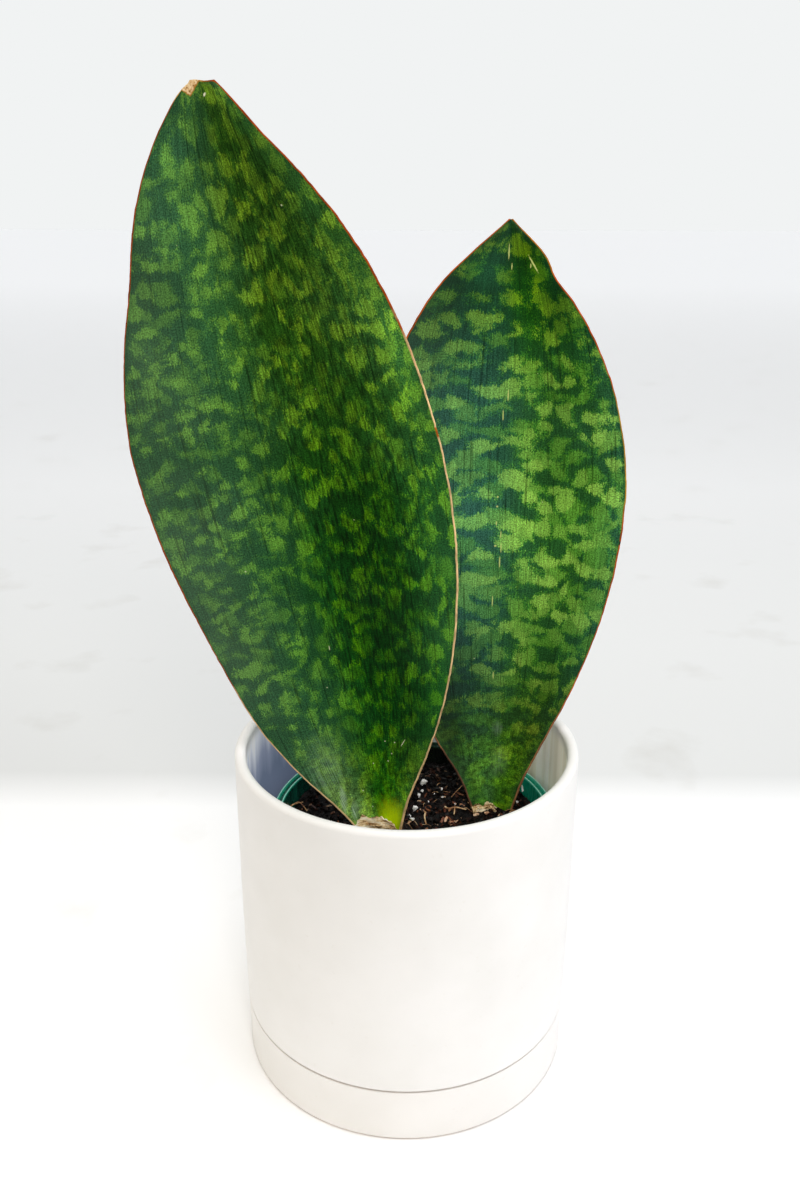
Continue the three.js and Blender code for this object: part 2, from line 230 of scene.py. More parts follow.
bpy.context.scene.world = world
bpy.context.scene.view_settings.view_transform = "Standard"
print("camera and light set")


# pale polished stone: soft sheen and faint clouds, with painted shade in front on the left where the room is
# darker, and a painted glow further back
def pavingFinish():
    material, add, shader = newFinish("pale polished floor")
    place = add("TexCoord", {}, [], "Object")
    x = add("SeparateXYZ", {}, [place], "X")
    y = x.node.outputs["Y"]
    cloud = add("TexNoise", {}, {"Vector": place, "Scale": perMm(90), "Detail": 5})
    near = add("ValToRGB", {"stops": [(0.25, "F4F3F1"), (0.42, "FFFFFF")]}, [cloud])
    back = add("MapRange", {}, [y, 0.2, 1.2, 0, 1])
    stops = {"stops": [(0.03, "FFFFFF"), (0.085, "E2E3E2"), (0.35, "ECEDEC"), (1, "FAFBFB")]}
    distance = add("ValToRGB", stops, [back])
    paled = add("Mix", {"data_type": "RGBA", "blend_type": "MULTIPLY"}, [1, near, distance])
    farther = add("MapRange", {}, [y, 1.2, 5, 0.09, 0.26])
    # painted glow: the floor gives off light of its own, more of it further back
    glow = add("Math", "MULTIPLY", [back, farther])
    # painted shade in front on the left
    front = add("MapRange", "SMOOTHSTEP", [y, -0.22, -0.55, 0, 1])
    left = add("MapRange", "SMOOTHSTEP", [x, 0.3, 0.06, 0, 1])
    paintedFrontShade = add("Math", "MULTIPLY", [front, left])
    tone = add("Mix", "RGBA", [paintedFrontShade, paled, linearColour("585858")])
    gloss = add("MapRange", {}, [cloud, 0.3, 0.7, 0.5, 0.6])
    fillInputs(shader, {"Base Color": tone, "Roughness": gloss, "Emission Strength": glow})
    fillInputs(shader, {"Emission Color": linearColour("F6F8FF")})
    return material


startClean()
bpy.ops.mesh.primitive_plane_add(size=24, location=(0, 0, -0.0002))
floor = bpy.context.object
floor.name = "floor"
bpy.ops.object.mode_set(mode="EDIT")
bpy.ops.mesh.subdivide(number_cuts=3)
bpy.ops.object.mode_set(mode="OBJECT")
floor.data.materials.append(pavingFinish())
print("floor laid")


# satin glazed stoneware: broad soft highlights, and a warm brown band along the lower edge, painted shade at
# the seam over the saucer and where the saucer meets the floor
def ceramicFinish(name, look):
    material, add, shader = newFinish(name)
    place = add("TexCoord", {}, [], "Object")
    height = add("SeparateXYZ", {}, [place], "Z")
    cloud = add("TexNoise", {}, {"Vector": place, "Scale": perMm(55), "Detail": 3})
    glaze = add("ValToRGB", {"stops": look["glaze"]}, [cloud])
    fleck = add("TexNoise", {}, {"Vector": place, "Scale": perMm(3), "Detail": 4})
    flecked = add("MapRange", {}, [fleck, 0.66, 0.74, 0, 0.12])
    body = add("Mix", "RGBA", [flecked, glaze, linearColour("D9D2C4")])
    ragged = add("Math", "MULTIPLY_ADD", [fleck, 0.0006, -0.0003])
    edge = add("Math", "ADD", [height, ragged])
    if "inside" in look:  # the streaked inner wall: painted shade on the left, slate and darker lower down, and painted warm light on the right
        flow = add("VectorMath", "MULTIPLY", [place, (perMm(12), perMm(12), perMm(400))])
        runs = add("TexNoise", {}, {"Vector": flow, "Scale": 1, "Detail": 3})
        streaky = add("Math", "MULTIPLY_ADD", [runs, 0.05, height])
        rise = add("MapRange", {}, [streaky, 0.165, 0.21, 0, 1])
        slateShade = add("ValToRGB", {"stops": look["inside"]["left"]}, [rise])
        warm = add("ValToRGB", {"stops": look["inside"]["right"]}, [runs])
        x = add("SeparateXYZ", {}, [place], "X")
        toRight = add("MapRange", {}, [x, -0.02, 0.04, 0, 1])
        innerShadeAndLight = add("Mix", "RGBA", [toRight, slateShade, warm])
        level = add("VectorMath", "MULTIPLY", [place, (1, 1, 0)])
        fromAxis = add("VectorMath", "LENGTH", [level])
        inner = add("MapRange", {}, [fromAxis, 0.0843, 0.0848, 1, 0])
        below = add("MapRange", {}, [height, 0.172, 0.1785, 1, 0])
        within = add("Math", "MULTIPLY", [inner, below])
        body = add("Mix", "RGBA", [within, body, innerShadeAndLight])
        # painted glow: the inner wall gives off light of its own, for light thrown back
        onLeft, onRight = look["inside"]["bounce"]
        nearer = add("MapRange", {}, [x.node.outputs["Y"], 0.01, 0.032, onRight, onRight * 0.2])
        bounce = add("Mix", "FLOAT", [toRight, onLeft, nearer])
        lit = add("Math", "MULTIPLY", [within, bounce])
        fillInputs(shader, {"Emission Color": innerShadeAndLight, "Emission Strength": lit})
    # painted shade: a warm brown band along the lowest edge
    low, high = look["bare"]
    bare = add("MapRange", "SMOOTHSTEP", [edge, low * mm, high * mm, 1, 0])
    tone = add("Mix", "RGBA", [bare, body, linearColour(look["edgeShadeTone"])])
    peel = add("TexNoise", {}, {"Vector": place, "Scale": perMm(1.4), "Detail": 2})
    relief = add("Bump", {}, {"Strength": 0.12, "Distance": 0.0002, "Height": peel})
    gloss = add("MapRange", {}, [cloud, 0.3, 0.7, look["gloss"] - 0.04, look["gloss"] + 0.05])
    fillInputs(shader, {"Base Color": tone, "Roughness": gloss, "Normal": relief})
    return material


planter = {
    "sides": 160,
    "foot": 82.5,
    "underside": 6.3,
    "rings": [
        (82.5, 31.1), (89.3, 31.1), (89.8, 60), (90, 90), (90, 181.2), (84.1, 181.2), (84.1, 14.3), (9, 14.3),
    ],
    "rounds": [((82.5, 6.3), 3, 3), ((89.3, 31.1), 0.6, 3), ((84.1, 14.3), 6, 5)],  # ring, width, steps
    "rim": [((90, 181.2), 2.7, 6), ((84.1, 181.2), 2.7, 6)],
    "glaze": [(0.35, "F1EFEB"), (0.65, "F7F5F2")],
    # painted shade and light on the inner wall, and a painted glow
    "inside": {
        "left": [(0, "6C7890"), (0.35, "8E96AE"), (0.7, "D9DCE4"), (1, "F4F2EC")],
        "right": [(0.32, "D8D2BC"), (0.5, "EDE8D6"), (0.62, "FFFDF4")],
        "bounce": (0.3, 0.2),  # painted glow for light thrown back by the walls across, left and right
    },
    # painted shade at the seam: the lowest edge turns warm brown
    "bare": (31.1, 31.5),
    "edgeShadeTone": "8B6A4C",
    "gloss": 0.42,
}
saucer = {
    "sides": 160,
    "base": 88.9,
    "rings": [(89.3, 30.2), (83.3, 30.2), (83.3, 6)],
    "under": [(80, 0), (79.2, 0.9)],
    "rounds": [((88.9, 0), 0.8, 3), ((89.3, 30.2), 0.7, 3), ((83.3, 30.2), 1.3, 4), ((83.3, 6), 3, 4)],
    "glaze": [(0.35, "F1EEE9"), (0.65, "F7F4F0")],
    # painted contact shade: the bottom edge turns warm brown
    "bare": (0.1, 0.9),
    "edgeShadeTone": "A88B6C",
    "gloss": 0.42,
}


def turnPlanter():
    startClean()
    bpy.ops.mesh.primitive_cylinder_add(
        vertices=planter["sides"], radius=planter["foot"] * mm, depth=1 * mm,
        location=(0, 0, (planter["underside"] + 0.5) * mm))
    piece = bpy.context.object
    bpy.ops.object.transform_apply(location=True)
    bpy.ops.object.mode_set(mode="EDIT")
    pick(piece, "FACE", lambda place: place.z > (planter["underside"] + 0.9) * mm)
    raiseRings(planter["rings"], planter["foot"], planter["underside"] + 1)
    pick(piece, "FACE", onRing(planter["foot"], planter["underside"]))
    raiseRings([(9, planter["underside"])], planter["foot"], planter["underside"])
    pick(piece, "FACE", lambda place: math.hypot(place.x, place.y) < 9.5 * mm)
    bpy.ops.mesh.bridge_edge_loops()  # the drain hole
    for (radius, height), width, steps in planter["rounds"] + planter["rim"]:
        pick(piece, "EDGE", onRing(radius, height))
        bpy.ops.mesh.bevel(offset=width * mm, segments=steps, affect="EDGES")
    finishTurned(piece, 32)
    glaze = ceramicFinish("satin white glaze", planter)
    settle(piece, "planter", glaze, ["outer_pot"])


def turnSaucer():
    startClean()
    bpy.ops.mesh.primitive_cylinder_add(
        vertices=saucer["sides"], radius=saucer["base"] * mm, depth=10 * mm, location=(0, 0, 5 * mm))
    piece = bpy.context.object
    bpy.ops.object.transform_apply(location=True)
    bpy.ops.object.mode_set(mode="EDIT")
    pick(piece, "FACE", onRing(saucer["base"], 10))
    raiseRings(saucer["rings"], saucer["base"], 10)
    pick(piece, "FACE", onRing(saucer["base"], 0))
    raiseRings(saucer["under"], saucer["base"], 0)
    for (radius, height), width, steps in saucer["rounds"]:
        pick(piece, "EDGE", onRing(radius, height))
        bpy.ops.mesh.bevel(offset=width * mm, segments=steps, affect="EDGES")
    finishTurned(piece, 32)
    glaze = ceramicFinish("satin white saucer glaze", saucer)
    settle(piece, "saucer_dish", glaze, ["saucer"])


turnPlanter()
turnSaucer()


growPot = {
    "sides": 144,
    "centre": (4 * mm, 0),
    "foot": 57,
    "bottom": 14.6,
    "rings": [
        (72.6, 133), (76, 133.5), (76, 140.1), (75.2, 141), (74.4, 140.2), (74.1, 138.9), (73, 138.9),
        (72.7, 139.8), (72.2, 140.2), (71.7, 139.8), (71.4, 138.9), (71.4, 133), (55.96, 15.8),
    ],
    "holes": {"count": 6, "radius": 5, "circle": 42, "middle": 15.2, "depth": 6},
    "colours": ["052F25", "109274", "2FA387", "A6EAD6"],  # painted shade, wall, painted light on the lip, and painted highlight on the crests
    "crests": [75.2, 72.2],  # radius of the two rolls of the lip
}


# moulded polypropylene: painted highlights along the crests of the rolled lip, painted light up the lip and on
# the right, painted shade lower down and behind the leaves, and soil rubbed on below the lip
def growPotFinish():
    material, add, shader = newFinish("teal moulded plastic")
    place = add("TexCoord", {}, [], "Object")
    height = add("SeparateXYZ", {}, [place], "Z")
    x = height.node.outputs["X"]
    low, middle, high, edge = growPot["colours"]
    flow = add("VectorMath", "MULTIPLY", [place, (perMm(5), perMm(5), perMm(60))])
    streak = add("TexNoise", {}, {"Vector": flow, "Scale": 1, "Detail": 3})
    # painted light: paler up towards the lip and on the right of the wall, painted shade lower down
    lip = add("MapRange", {}, [height, 0.1388, 0.1397, 0, 0.3])
    toRight = add("MapRange", {}, [x, 0.03, 0.06, 0, 0.36])
    paintedLightAmount = add("Math", "ADD", [lip, toRight])
    mixed = add("Math", "MULTIPLY_ADD", [streak, 0.3, paintedLightAmount])
    tone = add("ValToRGB", {"stops": [(0.12, low), (0.5, middle), (0.9, high)]}, [mixed])
    fromAxis = add("VectorMath", "SUBTRACT", [place, (*growPot["centre"], 0)])
    level = add("VectorMath", "MULTIPLY", [fromAxis, (1, 1, 0)])
    away = add("VectorMath", "LENGTH", [level])
    above = add("MapRange", {}, [height, 0.1392, 0.1396, 0, 1])
    for crest in growPot["crests"]:  # painted highlight along the crest of each roll of the lip
        offset = add("Math", "SUBTRACT", [away, crest * mm])
        apart = add("Math", "ABSOLUTE", [offset])
        paleAmount = add("MapRange", {}, [apart, 0.15 * mm, 0.45 * mm, 1, 0])
        crestHighlight = add("Math", "MULTIPLY", [paleAmount, above])
        tone = add("Mix", "RGBA", [crestHighlight, tone, linearColour(edge)])
    dust = add("TexNoise", {}, {"Vector": place, "Scale": perMm(2.5), "Detail": 5})
    dirty = add("MapRange", {}, [dust, 0.56, 0.66, 0, 0.5])
    lower = add("MapRange", {}, [height, 0.130, 0.137, 1, 0])
    soiled = add("Math", "MULTIPLY", [dirty, lower])
    # painted shade behind the leaves, clear of the right side
    behind = add("MapRange", {}, [height.node.outputs["Y"], 0.045, 0.066, 0, 0.9])
    clear = add("MapRange", {}, [x, 0.035, 0.055, 1, 0])
    shadow = add("Math", "MULTIPLY", [behind, clear])
    dirtAndShade = add("Math", "MAXIMUM", [soiled, shadow])
    speckMottle = add("Mix", "RGBA", [dirtAndShade, tone, linearColour("0E0906")])
    grainy(add, shader, speckMottle, streak, (0.15, 0.2), (0.3, 0.7, 0.2, 0.34))
    return material


def mouldGrowPot():
    axis = growPot["centre"]
    startClean()
    bpy.ops.mesh.primitive_cylinder_add(
        vertices=growPot["sides"], radius=growPot["foot"] * mm, depth=2 * mm,
        location=(*axis, (growPot["bottom"] + 1) * mm))
    piece = bpy.context.object
    bpy.ops.object.transform_apply(location=True)
    bpy.ops.object.mode_set(mode="EDIT")
    pick(piece, "FACE", onRing(growPot["foot"], growPot["bottom"] + 2, axis))
    raiseRings(growPot["rings"], growPot["foot"], growPot["bottom"] + 2, axis)
    pick(piece, "EDGE", onRing(growPot["foot"], growPot["bottom"], axis))
    bpy.ops.mesh.bevel(offset=1.8 * mm, segments=3, affect="EDGES")
    bpy.ops.object.mode_set(mode="OBJECT")
    holes = growPot["holes"]
    for number in range(holes["count"]):
        turn = 2 * math.pi * number / holes["count"]
        circle = holes["circle"] * mm
        spot = (axis[0] + circle * math.cos(turn), circle * math.sin(turn), holes["middle"] * mm)
        startClean()
        bpy.ops.mesh.primitive_cylinder_add(
            vertices=24, radius=holes["radius"] * mm, depth=holes["depth"] * mm, location=spot)
        cutter = bpy.context.object
        choose(piece)
        cut = piece.modifiers.new("drain", "BOOLEAN")
        cut.operation = "DIFFERENCE"
        cut.solver = "EXACT"
        cut.object = cutter
        bpy.ops.object.modifier_apply(modifier=cut.name)
        bpy.data.objects.remove(cutter)
    bpy.ops.object.mode_set(mode="EDIT")
    finishTurned(piece, 38)
    settle(piece, "grow_pot", growPotFinish(), ["nursery_pot"])


mouldGrowPot()


# leaf shapes, in mm: foot in the peat, tip, turn in degrees, and how far the blade cups and bows
largeLeaf = {
    "foot": (-12, -5, 130), "tip": (-86.4, -12.6, 495.8), "turn": 4, "cup": 15, "bow": 6,
    "wave": {"height": 2.5, "length": 150, "left": 0.5, "right": 2.6},
    "stations": [
        (0, 9.2, 9.3), (20, 19, 17.8), (45, 34.3, 32.6), (75, 49.4, 47.5), (110, 59.3, 59.4),
        (150, 66.5, 67.7), (190, 71.9, 70.3), (230, 73.7, 67.7), (265, 66.3, 61.7), (300, 52.7, 49.8),
        (330, 41.4, 33.6), (352, 28.2, 18.7), (368, 14.4, 9), (374, 7, 4.8),
    ],  # distance up the leaf, then how far the left and right margin lie from the middle, in mm
    "top": [(-1, 372.6), (-0.88, 373.8), (-0.68, 375), (-0.32, 374.7), (0.11, 373.7), (0.5, 373.3), (1, 373)],
    "across": 52, "along": 200, "spread": 70, "seed": 3.1,
}
smallLeaf = {
    "foot": (48, 19, 130), "tip": (48.5, 35.3, 440.6), "turn": 0, "cup": 11, "bow": 5,
    "wave": {"height": 2, "length": 130, "left": 1, "right": 0.2},
    "stations": [
        (0, 11.2, 10.4), (20, 18.4, 16.3), (45, 32.9, 27.2), (75, 44.6, 41.1), (110, 54.2, 53),
        (150, 62.1, 60), (190, 64.5, 61.7), (225, 60.4, 55.4), (252, 51.2, 44.4), (272, 40.2, 32.3),
        (284, 30.9, 22.5), (296, 18.3, 16), (311, 0.8, 0.8),
    ],
    "top": [(-1, 311), (1, 311)],
    "across": 48, "along": 170, "spread": 62, "seed": 8.7,
}
blade = {"margin": 0.95, "middle": 3, "foot": 7, "fade": 40, "sunk": 27, "thickest": 7.5, "reach": 375}  # mm


def marginAt(leaf, distance, column):  # smooth half width from the stations
    at = np.array([row[0] for row in leaf["stations"]], float)
    value = np.array([row[column] for row in leaf["stations"]], float)
    slope = np.gradient(value)
    slope[1:-1] = (value[2:] - value[:-2]) / (at[2:] - at[:-2])
    slope[0] = (value[1] - value[0]) / (at[1] - at[0])
    slope[-1] = (value[-1] - value[-2]) / (at[-1] - at[-2])
    s = np.clip(distance, at[0], at[-1])
    i = np.clip(np.searchsorted(at, s, side="right") - 1, 0, len(at) - 2)
    span = at[i + 1] - at[i]
    u = (s - at[i]) / span
    start = value[i] * (1 + 2 * u) + slope[i] * span * u
    end = value[i + 1] * (3 - 2 * u) - slope[i + 1] * span * (1 - u)
    return start * (1 - u) ** 2 + end * u ** 2


def leafAxes(leaf):  # up the leaf, across it to the right, and out of its face
    up = np.subtract(leaf["tip"], leaf["foot"]).astype(float)
    length = np.linalg.norm(up)
    up /= length
    turn = math.radians(leaf["turn"])
    facing = np.array([-math.sin(turn), -math.cos(turn), 0])
    facing -= up * facing.dot(up)
    facing /= np.linalg.norm(facing)
    return up, np.cross(up, facing), facing, length


def halfWidth(leaf, distance, t):
    above = np.maximum(distance, 0)
    return np.where(t < 0, marginAt(leaf, above, 1), marginAt(leaf, above, 2))


def bladePoint(leaf, distance, t):  # millimetres, for distances up the leaf and t from -1 to 1 across it
    up, across, facing, length = leafAxes(leaf)
    above = np.maximum(distance, 0)
    part = np.minimum(above / length, 1)
    hump = np.maximum(np.sin(math.pi * part), 0)
    cupWave = np.maximum(np.sin(math.pi * (0.12 + 0.88 * part)), 0)
    phase = np.where(t < 0, leaf["wave"]["left"], leaf["wave"]["right"])
    turns = 2 * math.pi * above / leaf["wave"]["length"] + phase
    wave = leaf["wave"]["height"] * hump * np.sin(turns) * t ** 4
    forward = leaf["cup"] * cupWave ** 0.8 * t ** 2 - leaf["bow"] * hump + wave
    point = np.array(leaf["foot"]) + np.outer(distance, up)
    return point + np.outer(halfWidth(leaf, distance, t) * t, across) + np.outer(forward, facing)


def bladeThickness(distance, t):
    fade = np.exp(-np.maximum(distance, 0) / blade["fade"])
    middle = blade["middle"] + (blade["foot"] - blade["middle"]) * fade
    return middle + (blade["margin"] - middle) * t ** 2


def setFloat(mesh, name, values):
    layer = mesh.attributes.new(name, "FLOAT", "POINT")
    layer.data.foreach_set("value", np.asarray(values, np.float32))


def setCorners(mesh, name, across, along):  # a uv map in metres on the leaf
    layer = mesh.uv_layers.new(name=name)
    corners = np.empty(len(mesh.loops), np.int32)
    mesh.loops.foreach_get("vertex_index", corners)
    layer.data.foreach_set("uv", np.column_stack([across[corners], along[corners]]).astype(np.float32).ravel())


def flatGrid(across, along):  # a square grid, and where its points lie each way from -1 to 1
    startClean()
    bpy.ops.mesh.primitive_grid_add(x_subdivisions=across, y_subdivisions=along, size=2)
    piece = bpy.context.object
    flat = np.empty(len(piece.data.vertices) * 3)
    piece.data.vertices.foreach_get("co", flat)
    return piece, flat[0::3], flat[1::3]


def growLeaf(leaf, name, finish, stands):
    piece, x, y = flatGrid(leaf["across"], leaf["along"])
    mesh = piece.data
    v = (y + 1) / 2
    t = np.clip(x * (1 + 0.32 * (1 - x * x)), -1, 1)  # closer columns near the margins
    top = np.interp(t, *np.transpose(leaf["top"]))
    s = -blade["sunk"] + (top + blade["sunk"]) * v
    points = bladePoint(leaf, s, t)
    across, facing = leafAxes(leaf)[1:3]
    half = halfWidth(leaf, s, t)
    for i, (row, side) in enumerate(zip(s, t)):
        nick = 0.28 * noise.noise((row / 3.1, leaf["seed"], side > 0))
        nick += 0.3 * noise.noise((row / 11, side > 0, 5))
        points[i] += across * (nick * side ** 9 * min(half[i] / 20, 1))
        dent = 0.55 * noise.noise((row / 34, side * half[i] / 17, leaf["seed"]))
        dent += 0.16 * noise.noise((row / 60, side * half[i] / 4.5, leaf["seed"] + 4))
        points[i] += facing * (dent * (1 - side ** 4) * min(max(row, 0) / 40, 1))
    mesh.vertices.foreach_set("co", (points * mm).ravel())
    gap = half * (1 - np.abs(t))
    if len(leaf["top"]) > 2:  # a cut-off tip has a margin too
        gap = np.minimum(gap, np.maximum(top - s, 0))
    setFloat(mesh, "marginGap", gap)
    setFloat(mesh, "side", t)
    setCorners(mesh, "flat", half * t * mm, s * mm)
    setCorners(mesh, "veins", t * np.sqrt(half * leaf["spread"]) * mm, s * mm)
    group = piece.vertex_groups.new(name="thickness")
    for i, weight in enumerate(bladeThickness(s, t) / blade["thickest"]):
        group.add([i], float(weight), "REPLACE")
    mesh.update()
    thicken = piece.modifiers.new("thicken", "SOLIDIFY")
    thicken.thickness = blade["thickest"] * mm
    thicken.offset = 0
    thicken.vertex_group = "thickness"
    bpy.ops.object.modifier_apply(modifier=thicken.name)
    rounded = piece.modifiers.new("rounded", "BEVEL")
    rounded.width = 0.3 * mm
    rounded.segments = 2
    rounded.limit_method = "ANGLE"
    rounded.angle_limit = math.radians(55)
    bpy.ops.object.modifier_apply(modifier=rounded.name)
    bpy.ops.object.mode_set(mode="EDIT")
    bpy.ops.mesh.select_all(action="SELECT")
    bpy.ops.mesh.normals_make_consistent(inside=False)
    bpy.ops.object.mode_set(mode="OBJECT")
    bpy.ops.object.shade_smooth()
    settle(piece, name, finish, stands)


# Leaf markings. Lengths are in mm from the middle of the leaf's foot: across to the right, then up the leaf.
# cells: patch width and length on the left and on the right, which change over between the turnover lines
# level, soft and halo: how much is pale, how soft its edge is and how wide its fringe
# dark, middle and light: the tones of the warm and the cool parts, and upper those nearer the tip
# cool, lit and hatch are curves across the leaf, bright and cover (more of the pale) curves up it; lit and
# bright are painted light and shade, and cool is partly painted sheen zones, scuffs, scratches and the glow
# are ovals: place, half width, half length, and how much; the zones are painted light and shade
largeLook = {
    "cells": [(9.6, 6.8), (8.2, 10.4)], "turnover": (-42, 0),
    "level": 0.285, "soft": 0.04, "halo": 0.13, "streak": (0.7, 5, 1.5),
    "dark": ["0B400C", "24482C"], "middle": ["1E5A08", "365E2C"], "light": ["468204", "548034"],
    "cover": [(0, 0), (1, 0)],
    "upper": {"from": (130, 290), "dark": "20440E", "middle": "365A12", "light": "5C7E18", "cool": 1},
    "cool": [(0, 1), (0.12, 1), (0.35, 0.68), (0.45, 0.35), (0.6, 0), (0.95, 0.35), (1, 0.4)],
    "lit": [
        (0, 1.2), (0.06, 1.2), (0.17, 1.35), (0.28, 1.5), (0.39, 1.3), (0.5, 1.15), (0.61, 1.12), (0.72, 1.1),
        (0.83, 1.3), (0.94, 1.85), (1, 2),
    ],
    "bright": [
        (0, 2.1), (0.03, 1.9), (0.07, 1.5), (0.12, 1.2), (0.2, 0.95), (0.32, 0.78), (0.45, 0.76), (0.6, 0.76),
        (0.7, 0.82), (0.82, 0.72), (1, 0.78),
    ],
    "sheenAndScuffs": {"across": (-20, -62), "much": 0.07},
    "scuffs": [(-17, 25, 2.2, 10, 1), (-12.5, 17, 2.2, 7, 0.8), (-22, 44, 14, 26, 0.2)],
    "zones": [
        (24, 128, 26, 88, 0.6), (34, 42, 16, 48, 0.62), (-34, 335, 13, 40, 1.45), (-17, 285, 15, 60, 1.32),
        (20, 335, 18, 34, 0.82), (-12, 12, 12, 14, 1.35), (-21, 352, 9, 14, 1.35), (60, 252, 8, 34, 1.6),
        (20, 38, 8, 22, 0.75),
    ],
    "hatch": [(0, 0), (0.38, 0), (0.52, 1), (0.8, 1), (0.92, 0.3), (1, 0)],
    "foot": ((1.25, 1, 0.95), (1.9, 1, 0.6), 16, 80),  # tint at left and right, and where it fades out
    "margins": {
        "left": 92, "right": 255, "red": "96400F", "pale": "DDB884",
        # place up the leaf, reach, side and tint
        "marks": [(375, 8, 0, "C99C58"), (374.5, 1.4, 1, "C99A4E"), (211, 3, 1, "B4601E")],
    },
    "glow": {"oval": (8.5, 7, 9.5, 12), "colour": "C4E20C"},
    "dryTip": {
        "peak": -6.1, "height": 368.9, "slope": 0.9, "outline": "A8742E",
        "stops": [(0.3, "3B2412"), (0.37, "B98B52"), (0.5, "E0BE8C"), (0.66, "F2DDB4")],
    },
    "gloss": 0.34, "plain": (24, 85), "scratch": "E2E0BE",
    "scratches": [
        (21.6, 52, 0.22, 2.6, "left"), (-6, 109, 0.2, 1.6, "up"), (0.1, 368.5, 0.5, 0.9, "left"),
        (12.1, 53.4, 0.35, 0.4, "up"), (17.2, 52.4, 0.35, 0.4, "up"), (14.4, 46.1, 0.35, 0.4, "up"),
        (11.6, 42.0, 0.35, 0.4, "up"), (3.0, 41.1, 0.35, 0.4, "up"), (-6.2, 26.5, 0.35, 0.4, "up"),
        (-2.9, 16.4, 0.35, 0.4, "up"),
    ],
}
smallLook = {
    "cells": [(16, 8.4), (10.5, 8.6)], "turnover": (-5, 30),
    "level": 0.26, "soft": 0.035, "halo": 0.1, "streak": (0.7, 5, 1.4),
    "dark": ["1B421A", "254E40"], "middle": ["306418", "2F663B"], "light": ["6A9236", "629248"],
    "cover": [(0, 0), (0.2, 0.01), (0.3, 0.05), (0.5, 0.05), (0.62, 0), (1, 0)],
    "upper": {"from": (215, 285), "dark": "0C3E04", "middle": "2A6204", "light": "648E02", "cool": 0.45},
    "cool": [(0, 1), (0.35, 1), (0.5, 0.6), (0.62, 0.12), (0.8, 0.05), (0.95, 0.3), (1, 0.5)],
    "lit": [
        (0, 0.68), (0.15, 0.76), (0.28, 1), (0.4, 1.1), (0.5, 1.15), (0.6, 1.35), (0.72, 1.3), (0.83, 1.15),
        (0.94, 1.2), (1, 1.2),
    ],
    "bright": [
        (0, 1.5), (0.05, 1.45), (0.1, 1), (0.16, 0.75), (0.2, 0.82), (0.28, 0.97), (0.36, 1.12), (0.44, 1.3),
        (0.5, 1.12), (0.6, 1.05), (0.68, 0.88), (0.76, 0.7), (0.83, 0.6), (1, 0.5),
    ],
    "sheenAndScuffs": {"across": (-8, -60), "much": 0.05},
    "scuffs": [(1.5, 48, 4, 6, 0.28), (3, 28, 7, 12, 0.2)],
    "zones": [
        (26, 215, 9, 70, 0.78), (-36, 75, 15, 34, 0.45), (-24, 40, 9, 28, 0.55), (30, 55, 13, 30, 0.85),
        (-16, 84, 14, 26, 0.66), (8, 300, 12, 14, 0.7), (22, 270, 11, 16, 0.72), (-14, 289, 11, 10, 1.6),
        (22, 26, 13, 24, 0.62),
    ],
    "hatch": [(0, 0.3), (1, 0.3)], "foot": ((1.4, 1, 0.36), (1.75, 1, 0.36), 20, 95),
    "margins": {
        "left": 60, "right": 60, "red": "B4521A", "pale": "9A6A48",
        "marks": [
            (200, 36, 1, "B4862A"), (154.7, 1.2, 1, "2A1206"), (20, 22, 0, "6A4A38"), (300, 16, 1, "B0701C"),
        ],
    },
    "glow": None, "dryTip": None,
    "gloss": 0.35, "plain": (20, 90), "scratch": "CDD47C",
    "scratches": [
        (-0.4, 296.5, 0.35, 4, "up"), (1.3, 289.5, 0.3, 1.8, "up"), (11.7, 290.6, 0.4, 5, "right"),
        (10.4, 290, 0.3, 1.2, "up"), (1.7, 228, 0.35, 3.2, "up"), (-0.5, 218, 0.3, 3.2, "up"),
        (0.3, 156, 0.3, 2.2, "up"), (0.6, 149, 0.3, 3, "up"), (0.1, 141, 0.35, 3.6, "up"),
        (-3.1, 120, 0.35, 3.2, "up"), (-1.5, 78, 0.3, 2.2, "up"), (-2, 171, 0.6, 0.6, "up"),
        (-2.4, 150, 0.6, 0.6, "up"), (-1.9, 176, 0.45, 0.6, "up"), (-2.2, 162, 0.4, 1.1, "up"),
    ],
}


def patches(add, place, size):  # rounded lumps with torn outlines, and a random tone for each
    width, height = size
    level = {"noise_dimensions": "2D"}
    cells = add("VectorMath", "MULTIPLY", [place, (perMm(width), perMm(height), 0)])
    swirl = add("TexNoise", level, {"Vector": cells, "Scale": 0.55, "Detail": 2}, "Color")
    cells = add("VectorMath", "MULTIPLY_ADD", [swirl, (0.95, 0.95, 0), cells])
    rounder = {"voronoi_dimensions": "2D", "feature": "SMOOTH_F1"}
    lumps = add("TexVoronoi", rounder, {"Vector": cells, "Scale": 1, "Smoothness": 0.3}, "Distance")
    torn = add(
        "TexNoise", level, {"Vector": cells, "Scale": 1.2, "Detail": 5, "Roughness": 0.62, "Distortion": 0.5})
    rounded = add("Math", "MULTIPLY", [lumps, -0.5])
    field = add("Math", "MULTIPLY_ADD", [torn, 0.9, rounded])
    return field, lumps.node.outputs["Color"]


leans = {"up": 0, "left": 38, "right": -32}  # degrees


def ovalReach(add, flat, across, along, halfWide, halfLong, lean=0):  # 0 in the middle, 1 on the outline
    offset = add("VectorMath", "SUBTRACT", [flat, (across * mm, along * mm, 0)])
    if lean:
        turn = {"Vector": offset, "Angle": math.radians(lean)}
        offset = add("VectorRotate", {"rotation_type": "Z_AXIS"}, turn)
    scaled = add("VectorMath", "MULTIPLY", [offset, (perMm(halfWide), perMm(halfLong), 0)])
    return add("VectorMath", "LENGTH", [scaled])


